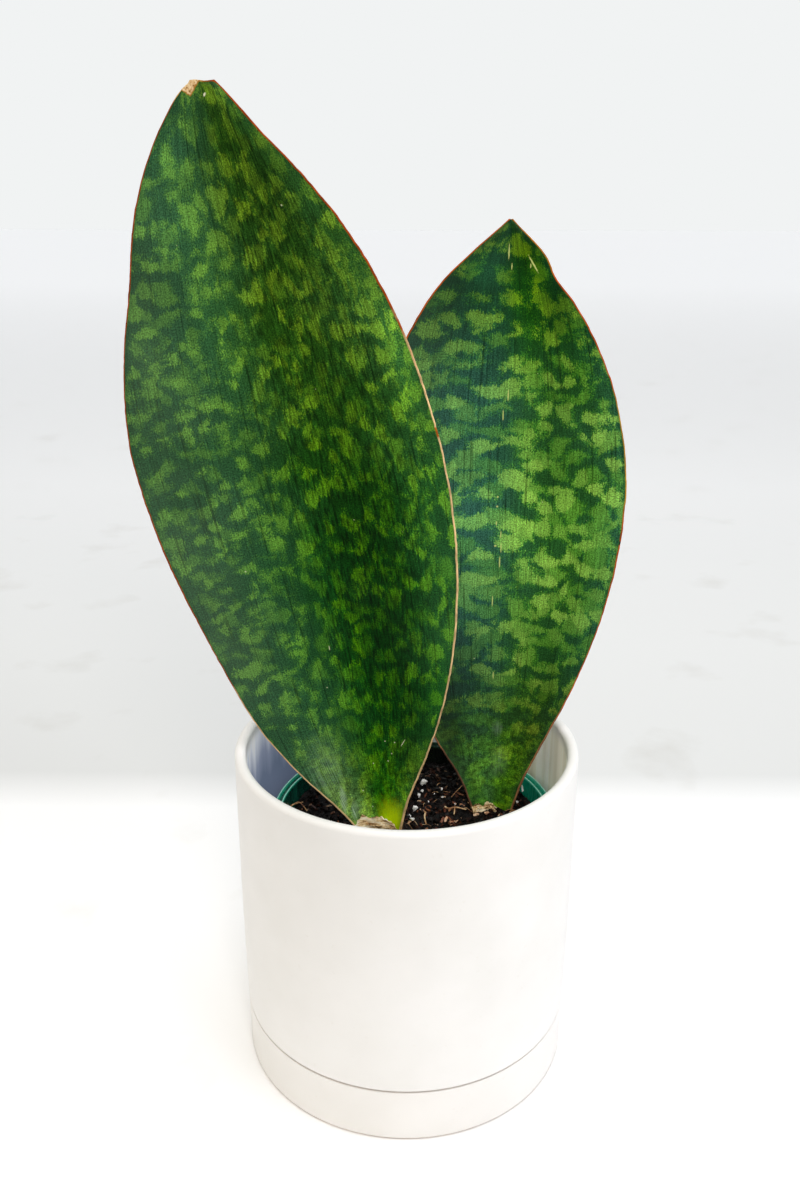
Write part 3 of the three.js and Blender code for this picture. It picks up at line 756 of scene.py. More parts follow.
# waxy leaf skin: a dull sheen over pale bands and spots whose edges feather along the veins
def leafFinish(name, look):
    material, add, shader = newFinish(name)
    veins = add("UVMap", {"uv_map": "veins"}, [])
    flat = add("UVMap", {"uv_map": "flat"}, [])
    gap = add("Attribute", {"attribute_name": "marginGap"}, [], "Fac")
    side = add("Attribute", {"attribute_name": "side"}, [], "Fac")
    x = add("SeparateXYZ", {}, [flat], "X")
    s = x.node.outputs["Y"]

    # feathered patch edges: each narrow lane along the veins is pushed up or down by its own amount
    wide, tall, push = look["streak"]
    lane = add("VectorMath", "MULTIPLY", [veins, (perMm(wide), perMm(tall), 0)])
    shift = add("TexNoise", {}, {"Vector": lane, "Scale": 1, "Detail": 2, "Roughness": 0.6})
    pushed = add("Math", "MULTIPLY_ADD", [shift, 4 * push * mm, -2 * push * mm])
    lift = add("CombineXYZ", {}, [0, pushed, 0])
    between = add("Mix", "VECTOR", [0.72, veins, flat])
    moved = add("VectorMath", "ADD", [between, lift])
    leftField, leftTone = patches(add, moved, look["cells"][0])
    rightField, rightTone = patches(add, moved, look["cells"][1])
    low, high = look["turnover"]
    turnover = add("MapRange", "SMOOTHSTEP", [x, low * mm, high * mm, 0, 1])
    blotch = add("Mix", "FLOAT", [turnover, leftField, rightField])
    patchTone = add("Mix", "RGBA", [turnover, leftTone, rightTone])
    own = add("SeparateXYZ", {}, [patchTone], "X")

    broad = add("TexNoise", {}, {"Vector": veins, "Scale": perMm(48), "Detail": 2})
    speckVector = add("VectorMath", "MULTIPLY", [veins, (perMm(0.62), perMm(0.95), 0)])
    speck = add("TexNoise", {}, {"Vector": speckVector, "Scale": 1, "Detail": 2, "Roughness": 0.6})
    height = add("Math", "MULTIPLY", [s, perMm(blade["reach"])])
    density = add("Math", "MULTIPLY_ADD", [broad, 0.28, blotch])
    fuller = add("Math", "ADD", [density, addCurve(add, look["cover"], height)])
    field = add("Math", "SUBTRACT", [fuller, 0.14])
    speckled = add("Math", "SUBTRACT", [speck, 0.5])
    sharp = add("Math", "MULTIPLY_ADD", [speckled, 0.36, field])
    loose = add("Math", "MULTIPLY_ADD", [speckled, 0.62, field])
    level = look["level"]
    plain = add("MapRange", "SMOOTHSTEP", [s, look["plain"][0] * mm, look["plain"][1] * mm, 0.15, 1])
    lit = add("MapRange", "SMOOTHSTEP", [sharp, level, level + look["soft"], 0, 1])
    light = add("Math", "MULTIPLY", [lit, plain])
    halo = add("MapRange", "SMOOTHSTEP", [loose, level - look["halo"], level, 0, 1])

    # colours: yellower along the middle, cooler to the sides, partly painted sheen
    sideways = add("Math", "MULTIPLY_ADD", [side, 0.5, 0.5])
    cool = addCurve(add, look["cool"], sideways)
    drift = add("Math", "MULTIPLY_ADD", [broad, 0.7, -0.35])
    drifted = add("Math", {"operation": "ADD", "use_clamp": True}, [cool, drift])
    low, high = look["upper"]["from"]
    upper = add("MapRange", "SMOOTHSTEP", [s, low * mm, high * mm, 0, 1])
    kept = add("MapRange", {}, [upper, 0, 1, 1, look["upper"]["cool"]])
    cooler = add("Math", "MULTIPLY", [drifted, kept])
    tones = []
    for key in ("dark", "middle", "light"):
        warmTone, coolTone = [linearColour(text) for text in look[key]]
        middleTone = add("Mix", "RGBA", [upper, warmTone, linearColour(look["upper"][key])])
        tones.append(add("Mix", "RGBA", [cooler, middleTone, coolTone]))
    ownTone = add("MapRange", {}, [own, 0.12, 0.8, 0.2, 1])
    ground = add("Mix", "RGBA", [halo, tones[0], tones[1]])
    raised = add("Mix", "RGBA", [ownTone, tones[1], tones[2]])
    pattern = add("Mix", "RGBA", [light, ground, raised])
    fine = add("VectorMath", "MULTIPLY", [veins, (perMm(0.55), perMm(26), 0)])
    grain = add("TexNoise", {}, {"Vector": fine, "Scale": 1, "Detail": 3})
    shade = add("MapRange", {}, [grain, 0.25, 0.75, 0.64, 1.36])
    strokes = add("VectorMath", "MULTIPLY", [veins, (perMm(1.1), perMm(7), 0)])
    hatch = add("TexNoise", {}, {"Vector": strokes, "Scale": 1, "Detail": 3, "Roughness": 0.6})
    hatched = add("MapRange", {}, [hatch, 0.36, 0.62, 0.42, 1.5])
    hatching = add("Mix", "FLOAT", [addCurve(add, look["hatch"], sideways), 1, hatched])
    # painted light and shade up and across the leaf
    paintedLightUp = addCurve(add, look["bright"], height)
    paintedLightAcross = addCurve(add, look["lit"], sideways)
    shading = add("Math", "MULTIPLY", [paintedLightUp, paintedLightAcross])
    for *oval, much in look["zones"]:  # painted light and shade, paler and darker parts
        zone = add("MapRange", "SMOOTHSTEP", [ovalReach(add, flat, *oval), 0.2, 1.3, much, 1])
        shading = add("Math", "MULTIPLY", [shading, zone])
    dust = add("TexNoise", {}, {"Vector": veins, "Scale": perMm(0.7), "Detail": 2})
    speckMottle = add("MapRange", {}, [dust, 0.3, 0.7, 0.4, 1.7])
    folds = add("VectorMath", "MULTIPLY", [veins, (perMm(1.5), perMm(55), 0)])
    crease = add("TexNoise", {}, {"Vector": folds, "Scale": 1, "Detail": 2})
    creased = add("MapRange", "SMOOTHSTEP", [crease, 0.60, 0.68, 1, 0.55])
    dusted = add("Math", "MULTIPLY", [shade, speckMottle])
    grained = add("Math", "MULTIPLY", [dusted, hatching])
    lined = add("Math", "MULTIPLY", [grained, creased])
    toned = add("Math", "MULTIPLY", [lined, shading])
    leftTint, rightTint, low, high = look["foot"]  # the pattern turns yellower and plainer towards the foot
    tint = add("Mix", "VECTOR", [turnover, leftTint, rightTint])
    upFoot = add("MapRange", "SMOOTHSTEP", [s, low * mm, high * mm, 0, 1])
    footTint = add("Mix", "VECTOR", [upFoot, tint, (1, 1, 1)])
    mottle = add("TexNoise", {}, {"Vector": flat, "Scale": perMm(3), "Detail": 5, "Roughness": 0.78})
    mottled = add("MapRange", {}, [mottle, 0.37, 0.63, 0.32, 1.8])
    finer = add("Mix", "FLOAT", [upFoot, mottled, 1])
    footTone = add("VectorMath", "SCALE", {"Vector": footTint, "Scale": finer})
    tinted = add("VectorMath", "MULTIPLY", [pattern, footTone])
    scaledTone = add("VectorMath", "SCALE", {"Vector": tinted, "Scale": toned})
    inner, outer = look["sheenAndScuffs"]["across"]  # painted sheen towards the left margin
    toSide = add("MapRange", "SMOOTHSTEP", [x, inner * mm, outer * mm, 0, look["sheenAndScuffs"]["much"]])
    patchySheen = add("MapRange", {}, [broad, 0.3, 0.65, 0.4, 1.2])
    sheenAndScuffs = add("Math", "MULTIPLY", [toSide, patchySheen])
    streaks = add("MapRange", {}, [grain, 0.46, 0.6, 0.15, 1.5])
    # scuffs: pale worn patches, joined with the painted sheen
    for *oval, much in look["scuffs"]:
        ragged = add("Math", "MULTIPLY_ADD", [grain, 0.8, ovalReach(add, flat, *oval)])
        faded = add("MapRange", "SMOOTHSTEP", [ragged, 0.5, 1.5, much, 0])
        paleAmount = add("Math", "MULTIPLY", [faded, streaks])
        sheenAndScuffs = add("Math", "MAXIMUM", [sheenAndScuffs, paleAmount])
    striped = add("Mix", "RGBA", [sheenAndScuffs, scaledTone, linearColour("9CB896")])

    if look["glow"]:  # light shining through the young foot
        reach = ovalReach(add, flat, *look["glow"]["oval"])
        dotty = add("Math", "MULTIPLY_ADD", [speck, 0.9, reach])
        fringed = add("Math", "MULTIPLY_ADD", [hatch, 0.9, dotty])
        glow = add("MapRange", "SMOOTHSTEP", [fringed, 1, 2.3, 1, 0])
        striped = add("Mix", "RGBA", [glow, striped, linearColour(look["glow"]["colour"])])

    # dry scratches, each a thin ellipse
    nearest = 9
    for *oval, lean in look["scratches"]:
        reach = ovalReach(add, flat, *oval, leans[lean])
        nearest = add("Math", "MINIMUM", [reach, nearest])
    broken = add("Math", "MULTIPLY_ADD", [speck, 1.2, nearest])
    scratch = add("MapRange", "SMOOTHSTEP", [broken, 1.2, 1.7, 0.85, 0])
    scratched = add("Mix", "RGBA", [scratch, striped, linearColour(look["scratch"])])

    # scattered pale specks
    dots = add("TexVoronoi", {}, {"Vector": veins, "Scale": perMm(7)}, "Distance")
    dotSize = add("TexNoise", {}, {"Vector": veins, "Scale": perMm(9), "Detail": 0})
    dotEdge = add("MapRange", {}, [dotSize, 0.6, 0.8, 0, 0.07])
    dotGap = add("Math", "SUBTRACT", [dots, dotEdge])
    dot = add("MapRange", {}, [dotGap, -0.012, 0, 0.7, 0])
    dotted = add("Mix", "RGBA", [dot, scratched, linearColour("C9D0A6")])

    # thin coloured margin
    margins = look["margins"]
    right = add("Math", "GREATER_THAN", [x, 0])
    limit = add("MapRange", {}, [right, 0, 1, margins["left"] * mm, margins["right"] * mm])
    over = add("Math", "SUBTRACT", [s, limit])
    marginNoise = add("TexNoise", {}, {"Vector": flat, "Scale": perMm(6), "Detail": 4})
    wobble = add("Math", "MULTIPLY_ADD", [marginNoise, 0.08, over])
    redder = add("MapRange", "SMOOTHSTEP", [wobble, 0.025, 0.055, 0, 1])
    rim = add("Mix", "RGBA", [redder, linearColour(margins["pale"]), linearColour(margins["red"])])
    for centre, reach, onRight, tint in margins["marks"]:
        offset = add("Math", "SUBTRACT", [s, centre * mm])
        away = add("Math", "ABSOLUTE", [offset])
        near = add("MapRange", "SMOOTHSTEP", [away, reach * 0.6 * mm, reach * mm, 1, 0])
        there = add("Math", "COMPARE", [right, onRight, 0.1])
        mark = add("Math", "MULTIPLY", [near, there])
        rim = add("Mix", "RGBA", [mark, rim, linearColour(tint)])
    rimShade = add("MapRange", {}, [marginNoise, 0.3, 0.7, 0.55, 1.35])
    rimTone = add("VectorMath", "SCALE", {"Vector": rim, "Scale": rimShade})
    edge = add("Math", "MULTIPLY_ADD", [marginNoise, 0.7, gap])
    atEdge = add("MapRange", "SMOOTHSTEP", [edge, 0.68, 1, 1, 0])
    deep = add("MapRange", "SMOOTHSTEP", [gap, 0.6, 2.4, 0.3, 0])
    deepened = add("Mix", "RGBA", [deep, dotted, linearColour("0B3A24")])
    edged = add("Mix", "RGBA", [atEdge, deepened, rimTone])

    tone = edged
    dry = atEdge
    tip = look["dryTip"]
    if tip:  # brown and papery above a notched line
        fromPeak = add("Math", "SUBTRACT", [x, tip["peak"] * mm])
        apart = add("Math", "ABSOLUTE", [fromPeak])
        lineHeight = add("Math", "MULTIPLY_ADD", [apart, tip["slope"], tip["height"] * mm])
        aboveLine = add("Math", "SUBTRACT", [s, lineHeight])
        torn = add("TexNoise", {}, {"Vector": flat, "Scale": perMm(1.3), "Detail": 4})
        uneven = add("Math", "MULTIPLY_ADD", [torn, 0.0016, aboveLine])
        dryTip = add("MapRange", "SMOOTHSTEP", [uneven, 0.0006, 0.0011, 0, 1])
        straw = add("ValToRGB", {"stops": tip["stops"]}, [torn])
        inside = add("MapRange", "SMOOTHSTEP", [uneven, 0.0012, 0.0019, 0, 1])
        outlined = add("Mix", "RGBA", [inside, linearColour(tip["outline"]), straw])
        tone = add("Mix", "RGBA", [dryTip, edged, outlined])
        dry = add("Math", "MAXIMUM", [dryTip, atEdge])

    sheen = add("MapRange", {}, [broad, 0.3, 0.7, look["gloss"] - 0.05, look["gloss"] + 0.06])
    gloss = add("Mix", "FLOAT", [dry, sheen, 0.8])
    ribs = add("Math", "MULTIPLY_ADD", [speck, 0.35, grain])
    relief = add("Bump", {}, {"Strength": 0.22, "Distance": 0.0002, "Height": ribs})
    fillInputs(shader, {"Base Color": tone, "Roughness": gloss, "Normal": relief, "Specular IOR Level": 0.08})
    return material


mottledLeaf = leafFinish("mottled dark leaf", largeLook)
growLeaf(largeLeaf, "large_leaf", mottledLeaf, ["leaf_large"])
bandedLeaf = leafFinish("banded bright leaf", smallLook)
growLeaf(smallLeaf, "small_leaf", bandedLeaf, ["leaf_small"])


peat = {
    "top": 130, "radius": 70.2, "foot": 55.4, "bottom": 16.2, "centre": (4, 0), "steps": 150,
    "stops": [(0.36, "010101"), (0.53, "090504"), (0.63, "30180E"), (0.73, "744830")],
}


def peatHeight(x, y):  # millimetres
    bump = 0.6 * math.sin(x * 0.19 + 1) * math.cos(y * 0.16) + 0.4 * math.sin(x * 0.41 - y * 0.33)
    rough = noise.fractal((x / 5.5, y / 5.5, 3), 0.9, 2, 4)
    return peat["top"] + 1.6 * bump + 1.1 * rough


def paintedShadeBehind(add, tone, place):  # painted shade: the peat and the bark are darker behind the leaves and on the left
    y = add("SeparateXYZ", {}, [place], "Y")
    back = add("MapRange", {}, [y, 0.018, 0.042, 1, 0.18])
    left = add("MapRange", {}, [y.node.outputs["X"], -0.02, -0.045, 1, 0.3])
    shadeFactor = add("Math", "MULTIPLY", [back, left])
    return add("VectorMath", "SCALE", {"Vector": tone, "Scale": shadeFactor})


# moist peat: nearly black, with a few brown crumbs that catch the light
def peatFinish():
    material, add, shader = newFinish("moist dark peat")
    place = add("TexCoord", {}, [], "Object")
    coarse = add("TexNoise", {}, {"Vector": place, "Scale": perMm(3.2), "Detail": 6, "Roughness": 0.65})
    tone = add("ValToRGB", {"stops": peat["stops"]}, [coarse])
    tone = paintedShadeBehind(add, tone, place)
    crumb = add("TexNoise", {}, {"Vector": place, "Scale": perMm(0.8), "Detail": 4})
    grainy(add, shader, tone, crumb, (0.8, 0.6), (0.35, 0.65, 0.35, 0.8), 0.15)
    return material


def layPeat():
    startClean()
    steps = peat["steps"]
    bpy.ops.mesh.primitive_grid_add(x_subdivisions=steps, y_subdivisions=steps, size=2)
    piece = bpy.context.object
    for vertex in piece.data.vertices:  # the square becomes a disc
        u, v = vertex.co.x, vertex.co.y
        x = u * math.sqrt(1 - v * v / 2) * peat["radius"] + peat["centre"][0]
        y = v * math.sqrt(1 - u * u / 2) * peat["radius"]
        vertex.co = Vector((x, y, peatHeight(x, y))) * mm
    bpy.ops.object.mode_set(mode="EDIT")
    bpy.ops.mesh.select_all(action="SELECT")
    bpy.ops.mesh.region_to_loop()
    bpy.ops.mesh.extrude_region_move(TRANSFORM_OT_translate={"value": (0, 0, -4 * mm)})
    bpy.ops.mesh.extrude_region_move(TRANSFORM_OT_translate={"value": (0, 0, -20 * mm)})
    flatten = (1, 1, 0)
    bpy.ops.transform.resize(value=flatten, center_override=(peat["centre"][0] * mm, 0, peat["bottom"] * mm))
    shrink = peat["foot"] / peat["radius"]
    bpy.ops.transform.resize(value=(shrink, shrink, 1), center_override=(peat["centre"][0] * mm, 0, 0))
    bpy.ops.mesh.edge_face_add()
    bpy.ops.mesh.select_all(action="SELECT")
    bpy.ops.mesh.normals_make_consistent(inside=False)
    bpy.ops.object.mode_set(mode="OBJECT")
    bpy.ops.object.shade_smooth_by_angle(angle=math.radians(60))
    settle(piece, "peat_bed", peatFinish(), ["soil"])


layPeat()


def inLeafFoot(x, y, spare):  # true where a leaf's foot stands in the peat
    for leaf in (largeLeaf, smallLeaf):
        across, facing = leafAxes(leaf)[1:3]
        offset = np.array([x, y, peat["top"]]) - np.array(leaf["foot"])
        if abs(offset.dot(across)) < 10.5 + spare and abs(offset.dot(facing)) < 3.4 + spare:
            return True
    return False


def spotOnPeat(rim):  # a random place on the peat, in millimetres
    while True:
        turn = random.uniform(0, 2 * math.pi)
        reach = (peat["radius"] - rim) * math.sqrt(random.random())
        x, y = peat["centre"][0] + reach * math.cos(turn), reach * math.sin(turn)
        if not inLeafFoot(x, y, 0.6):
            return x, y


def joinPieces(pieces):
    startClean()
    for piece in pieces:
        piece.select_set(True)
    bpy.context.view_layer.objects.active = pieces[0]
    if pieces[0].type == "CURVE":
        bpy.ops.object.convert(target="MESH")
    bpy.ops.object.join()
    return bpy.context.object


def joinCopies(models, places):  # each place: model number, location, rotation, scale
    copies = []
    for number, location, rotation, scale in places:
        copy = models[number].copy()
        copy.data = models[number].data.copy()
        copy.matrix_world = Matrix.LocRotScale(Vector(location) * mm, Euler(rotation), Vector(scale) * mm)
        setFloat(copy.data, "own", np.full(len(copy.data.vertices), random.random() ** 1.8))
        bpy.context.collection.objects.link(copy)
        copies.append(copy)
    return joinPieces(copies)


def roughModel(seed, detail, strength, pull=(1, 1, 1)):  # a lump of about one unit radius
    startClean()
    bpy.ops.mesh.primitive_ico_sphere_add(subdivisions=detail, radius=1)
    lump = bpy.context.object
    for vertex in lump.data.vertices:
        swell = 1 + strength * noise.noise(vertex.co * 1.3 + Vector((seed, seed * 2, 0)))
        swell += 0.5 * strength * noise.noise(vertex.co * 3.1 + Vector((0, seed, 5)))
        vertex.co = Vector([value * swell * factor for value, factor in zip(vertex.co, pull)])
    return lump


def removeModels(models):
    for model in models:
        bpy.data.objects.remove(model)


crumbs = {"small": 1900, "large": 420}


def scatterCrumbs():
    models = [roughModel(seed, 2, 0.9) for seed in (1, 2, 3)] + [roughModel(seed, 1, 0.7) for seed in (4, 5)]
    places = []
    for number in range(crumbs["small"] + crumbs["large"]):
        large = number < crumbs["large"]
        x, y = spotOnPeat(1.5)
        size = random.uniform(1.0, 2.3) if large else random.uniform(0.35, 0.95)
        model = random.randrange(3) if large else random.choice([0, 3, 4])
        squash = random.uniform(0.5, 0.9)
        spin = (random.uniform(-0.5, 0.5), random.uniform(-0.5, 0.5), random.uniform(0, 6.3))
        lift = size * random.uniform(0.0, 0.5)
        stretch = (size, size * random.uniform(0.6, 1), size * squash)
        places.append((model, (x, y, peatHeight(x, y) + lift), spin, stretch))
    piece = joinCopies(models, places)
    removeModels(models)
    bpy.ops.object.shade_smooth_by_angle(angle=math.radians(50))
    settle(piece, "peat_crumbs", peatFinish(), [])


scatterCrumbs()

bark = {
    "count": 1150,
    "stops": [(0.24, "040202"), (0.496, "220F09"), (0.688, "66331F"), (0.84, "B07450"), (0.96, "F0CCA8")],
}


# shredded pine bark: reddish splinters, each with its own tone
def barkFinish():
    material, add, shader = newFinish("reddish bark fibre")
    place = add("TexCoord", {}, [], "Object")
    own = add("Attribute", {"attribute_name": "own"}, [], "Fac")
    patch = add("TexNoise", {}, {"Vector": place, "Scale": perMm(1.6), "Detail": 4, "Roughness": 0.7})
    mixed = add("Math", "MULTIPLY_ADD", [patch, 0.5, own])
    scaled = add("Math", "DIVIDE", [mixed, 1.25])
    tone = add("ValToRGB", {"stops": bark["stops"]}, [scaled])
    tone = paintedShadeBehind(add, tone, place)
    fibre = add("TexNoise", {}, {"Vector": place, "Scale": perMm(0.5), "Detail": 3})
    grainy(add, shader, tone, fibre, (0.6, 0.4), (0.35, 0.65, 0.2, 0.5), 0.25)
    return material


def shredModel(seed):  # a torn, bent shred, one unit long
    startClean()
    bpy.ops.mesh.primitive_cube_add(size=1)
    shred = bpy.context.object
    bpy.ops.transform.resize(value=(1, 0.2, 0.1))
    bpy.ops.object.transform_apply(scale=True)
    bpy.ops.object.mode_set(mode="EDIT")
    pick(shred, "EDGE", lambda place: True)
    shape = bmesh.from_edit_mesh(shred.data)
    for line in shape.edges:
        run = abs(line.verts[0].co.x - line.verts[1].co.x)
        line.select_set(run > 0.5)
    bmesh.update_edit_mesh(shred.data)
    bpy.ops.mesh.subdivide(number_cuts=3)
    bpy.ops.object.mode_set(mode="OBJECT")
    for vertex in shred.data.vertices:
        x = vertex.co.x
        taper = 1 - 1.4 * abs(x) ** 2 + 0.5 * noise.noise((x * 5, seed, vertex.co.y > 0))
        bend = 0.12 * noise.noise((x * 1.5, seed, 7))
        vertex.co.y = vertex.co.y * taper + bend
        vertex.co.z = vertex.co.z * taper + 0.1 * noise.noise((x * 1.6, seed, 9))
    return shred


def scatterBark():
    models = [shredModel(seed) for seed in (1.3, 2.9, 4.1, 6.6)]
    places = []
    for number in range(bark["count"]):
        x, y = spotOnPeat(5)
        length = random.uniform(1.6, 3.6) if number % 7 else random.uniform(4, 8)
        thick = random.uniform(0.5, 1.15)
        size = (length, 7 * thick, 7 * thick)
        spin = (random.uniform(-1.3, 1.3), random.uniform(-0.7, 0.7), random.uniform(0, 6.3))
        lift = random.uniform(0.3, 1.9)
        places.append((random.randrange(4), (x, y, peatHeight(x, y) + lift), spin, size))
    piece = joinCopies(models, places)
    removeModels(models)
    bpy.ops.object.shade_smooth_by_angle(angle=math.radians(28))
    settle(piece, "bark_shreds", barkFinish(), [])


scatterBark()

perlite = {
    "seen": [
        (9.8, 40.1, 1.9), (7.1, 29.6, 1.1), (8.9, 32.9, 0.8), (4.8, 39.5, 0.7), (5, 14.5, 1.5),
        (67.2, 34.6, 1.7), (62.2, 21.1, 0.8), (51.1, 27.5, 0.8), (20.3, 36.2, 0.7), (20.6, 26.6, 0.6),
        (1.8, 5.4, 1.1), (3.4, -0.5, 0.9), (-58.8, 10.4, 0.6), (12.5, 22, 0.45), (16, 30, 0.4),
        (27.5, 19.5, 0.4),
    ],  # place across and back, then radius, in mm
    "count": 9,
    "stops": [(0.3, "B0ABA4"), (0.44, "F2F0EE"), (0.6, "FFFFFF")],
}


# puffed volcanic glass: chalk white, matt and pitted
def perliteFinish():
    material, add, shader = newFinish("white perlite")
    place = add("TexCoord", {}, [], "Object")
    pores = add("TexNoise", {}, {"Vector": place, "Scale": perMm(0.7), "Detail": 4})
    tone = add("ValToRGB", {"stops": perlite["stops"]}, [pores])
    grainy(add, shader, tone, pores, (0.7, 0.3), (0.3, 0.7, 0.9, 0.7))
    return material


def scatterPerlite():
    models = [roughModel(seed, 2, 1.1) for seed in (11, 12, 13, 14)]
    grains = list(perlite["seen"])
    for number in range(perlite["count"]):
        grains.append((*spotOnPeat(4), random.choice([0.3, 0.4, 0.5, 0.9, 1.4])))
    places = []
    for number, (x, y, radius) in enumerate(grains):
        spin = (random.uniform(0, 6.3), random.uniform(0, 6.3), random.uniform(0, 6.3))
        height = peatHeight(x, y) + radius * 0.7 + (1.1 if number < len(perlite["seen"]) else 0.5)
        places.append((number % 4, (x, y, height), spin, (radius, radius * 0.85, radius * 0.9)))
    piece = joinCopies(models, places)
    removeModels(models)
    bpy.ops.object.shade_smooth_by_angle(angle=math.radians(50))
    settle(piece, "perlite_grains", perliteFinish(), [])


scatterPerlite()

roots = {
    "seen": [  # thickness, then places across, back and above the peat, in mm
        (0.55, [(21.6, 16, 0.5), (23.1, 12, 1.6), (27.1, 14.7, 1.8), (33.2, 13.4, 0.8)]),
        (0.45, [(27, 14, 1.6), (26.6, 10, 1.8), (26.3, 7.2, 0.6)]),
        (0.32, [(24.6, 24, 0.6), (28.3, 30.5, 1.6), (32.3, 37.3, 1.2)]),
        (0.55, [(9.4, 12.5, 0.6), (11, 8, 1.8), (9.6, 4, 1.6), (10.8, -0.1, 0.5)]),
        (0.35, [(31.8, 25.4, 0.6), (34.8, 24.1, 1.8), (36.2, 17.7, 0.6)]),
        (0.4, [(39.2, 21.4, 1.4), (41, 18, 1.8), (43.2, 14.9, 0.8)]),
        (0.4, [(-67, 12, 0.4), (-62.4, 13, 3.2), (-59.6, 14, 4.6), (-57, 13, 3.2), (-55, 12, 0.5)]),
        (0.35, [(-66, 19, 0.5), (-62, 18, 1.8), (-58, 20, 1.2)]),
    ],
    "count": 60,
    "stops": [(0.34, "6A4028"), (0.5, "B78858"), (0.66, "E8CC9E")],
}


# dried roots: tan and matt
def rootFinish():
    material, add, shader = newFinish("dry tan root")
    place = add("TexCoord", {}, [], "Object")
    patch = add("TexNoise", {}, {"Vector": place, "Scale": perMm(4), "Detail": 4})
    tone = add("ValToRGB", {"stops": roots["stops"]}, [patch])
    grain = add("TexNoise", {}, {"Vector": place, "Scale": perMm(0.5), "Detail": 3})
    grainy(add, shader, tone, grain, (0.5, 0.2), (0.3, 0.7, 0.5, 0.8))
    return material


def layStrand(points, radius, sides=2):  # points in millimetres
    curve = bpy.data.curves.new("strand", "CURVE")
    curve.dimensions = "3D"
    curve.bevel_depth = radius * mm
    curve.bevel_resolution = sides
    curve.resolution_u = 4
    curve.use_fill_caps = True
    line = curve.splines.new("NURBS")
    line.points.add(len(points) - 1)
    for i, (x, y, z) in enumerate(points):
        line.points[i].co = (x * mm, y * mm, z * mm, 1)
        line.points[i].radius = 1 - 0.55 * i / len(points)
    line.order_u = 3
    line.use_endpoint_u = True
    strand = bpy.data.objects.new("strand", curve)
    bpy.context.collection.objects.link(strand)
    return strand


def layRoots():
    strands = []
    for thick, points in roots["seen"]:
        strands.append(layStrand([(x, y, peatHeight(x, y) + z + 0.6) for x, y, z in points], thick))
    for number in range(roots["count"]):
        x, y = spotOnPeat(8)
        turn = random.uniform(0, 6.3)
        points = []
        for step in range(4):
            points.append((x, y, peatHeight(x, y) + (0.3, 1.6, 1.8, 0.4)[step]))
            turn += random.uniform(-0.9, 0.9)
            x += 2.4 * math.cos(turn)
            y += 2.4 * math.sin(turn)
        strands.append(layStrand(points, random.uniform(0.12, 0.3), 1))
    piece = joinPieces(strands)
    bpy.ops.object.shade_smooth()
    settle(piece, "fine_roots", rootFinish(), [])


layRoots()


# dry papery sheaths round the leaf feet: reach to left and right, torn heights along it in mm,
# and for each layer how tall it is and how far out it lies
sheaths = [
    {
        "name": "large_sheath", "leaf": largeLeaf, "left": -1.22, "right": 0.78,
        "tops": [
            (0, 6), (0.08, 8.6), (0.2, 11), (0.3, 13.4), (0.36, 15), (0.42, 12.4), (0.68, 10.4), (0.85, 8.6),
            (1, 4),
        ],
        "layers": [(1, 0), (0.62, 1)], "stands": ["dry_sheath_large"], "seed": 2.2,
    },
    {
        "name": "small_sheath", "leaf": smallLeaf, "left": -0.96, "right": 0.2,
        "tops": [(0, 3), (0.2, 4.8), (0.45, 3), (0.6, 5.6), (0.8, 4.4), (1, 1.5)],
        "layers": [(1, 0), (0.6, 0.8)], "stands": ["dry_sheath_small"], "seed": 5.9,
    },
]
paper = {
    "stops": [(0.34, "2A1A0C"), (0.41, "A67C4A"), (0.49, "EBCD96"), (0.62, "FFF6DA")],
    "stain": "4A3320", "thick": 0.45,
}


# leaf base dried to paper: pale straw with dark fibres and stains
def sheathFinish():
    material, add, shader = newFinish("dry papery husk")
    place = add("TexCoord", {}, [], "Object")
    flow = add("VectorMath", "MULTIPLY", [place, (perMm(6), perMm(4), perMm(1.3))])
    fibre = add("TexNoise", {}, {"Vector": flow, "Scale": 1, "Detail": 5, "Roughness": 0.65})
    tone = add("ValToRGB", {"stops": paper["stops"]}, [fibre])
    blot = add("TexNoise", {}, {"Vector": place, "Scale": perMm(5), "Detail": 3})
    stain = add("MapRange", {}, [blot, 0.55, 0.68, 0, 0.6])
    stained = add("Mix", "RGBA", [stain, tone, linearColour(paper["stain"])])
    grainy(add, shader, stained, fibre, (0.6, 0.4), (0.3, 0.7, 0.6, 0.85))
    return material


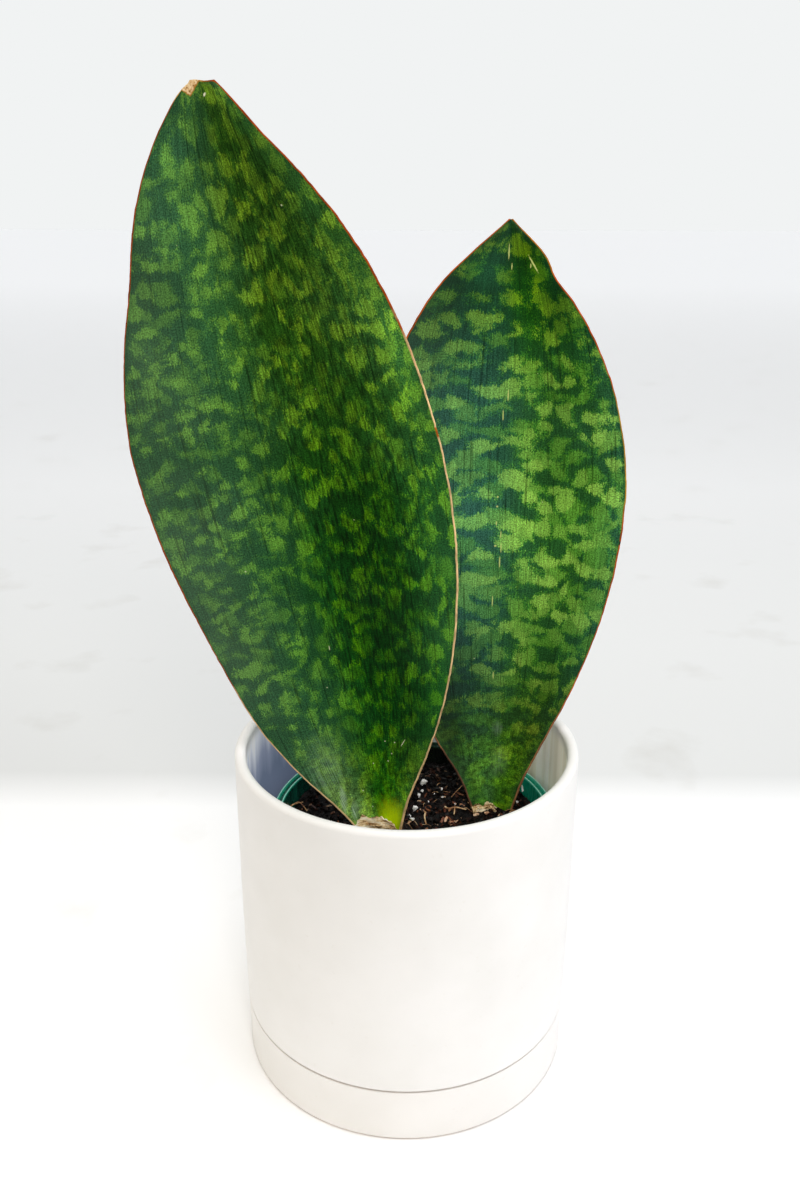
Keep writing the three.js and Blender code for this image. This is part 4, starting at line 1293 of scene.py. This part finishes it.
def paperLayer(sheath, tall, outside):
    piece, x, y = flatGrid(64, 16)
    mesh = piece.data
    part, rise = (x + 1) / 2, (y + 1) / 2
    t = sheath["left"] + (sheath["right"] - sheath["left"]) * part
    seed = sheath["seed"] + outside
    top = tall * np.interp(part, *np.transpose(sheath["tops"]))
    top += np.array([1.2 * noise.noise((value * 19, seed, 0)) for value in part])
    distance = -5 + (top + 5) * rise
    broad = np.array([noise.noise((p * 6, r * 4, seed)) for p, r in zip(part, rise)])
    crumple = broad + 0.55 * np.array([noise.noise((p * 15, r * 8, seed)) for p, r in zip(part, rise)])
    out = bladeThickness(distance, t) / 2 + 1.1 + outside
    out += 0.08 * np.maximum(distance, 0) + 1.1 * crumple * rise
    curl = 1.9 * np.maximum(rise - 0.78, 0) ** 1.2
    facing = leafAxes(sheath["leaf"])[2]
    points = bladePoint(sheath["leaf"], distance, t) + np.outer(out + curl, facing)
    mesh.vertices.foreach_set("co", (points * mm).ravel())
    mesh.update()
    thicken = piece.modifiers.new("thicken", "SOLIDIFY")
    thicken.thickness = paper["thick"] * mm
    thicken.offset = 0
    bpy.ops.object.modifier_apply(modifier=thicken.name)
    return piece


def wrapSheath(sheath):
    piece = joinPieces([paperLayer(sheath, tall, outside) for tall, outside in sheath["layers"]])
    bpy.ops.object.shade_smooth_by_angle(angle=math.radians(50))
    settle(piece, sheath["name"], sheathFinish(), sheath["stands"])


for sheath in sheaths:
    wrapSheath(sheath)


stemSkin = {"stops": [(0.35, "9A7A4E"), (0.5, "D2BC8C"), (0.68, "EADFB8")]}


# stem skin: pale straw, matt and blotched
def stemFinish():
    material, add, shader = newFinish("pale stem skin")
    place = add("TexCoord", {}, [], "Object")
    patch = add("TexNoise", {}, {"Vector": place, "Scale": perMm(8), "Detail": 5})
    tone = add("ValToRGB", {"stops": stemSkin["stops"]}, [patch])
    grainy(add, shader, tone, patch, (0.4, 0.5), (0, 1, 0.7, 0.7))
    return material


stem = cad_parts["rhizome"]  # the creeping stem under the peat keeps its solid
for slot in stem.material_slots:
    slot.material = stemFinish()
print("stem painted")
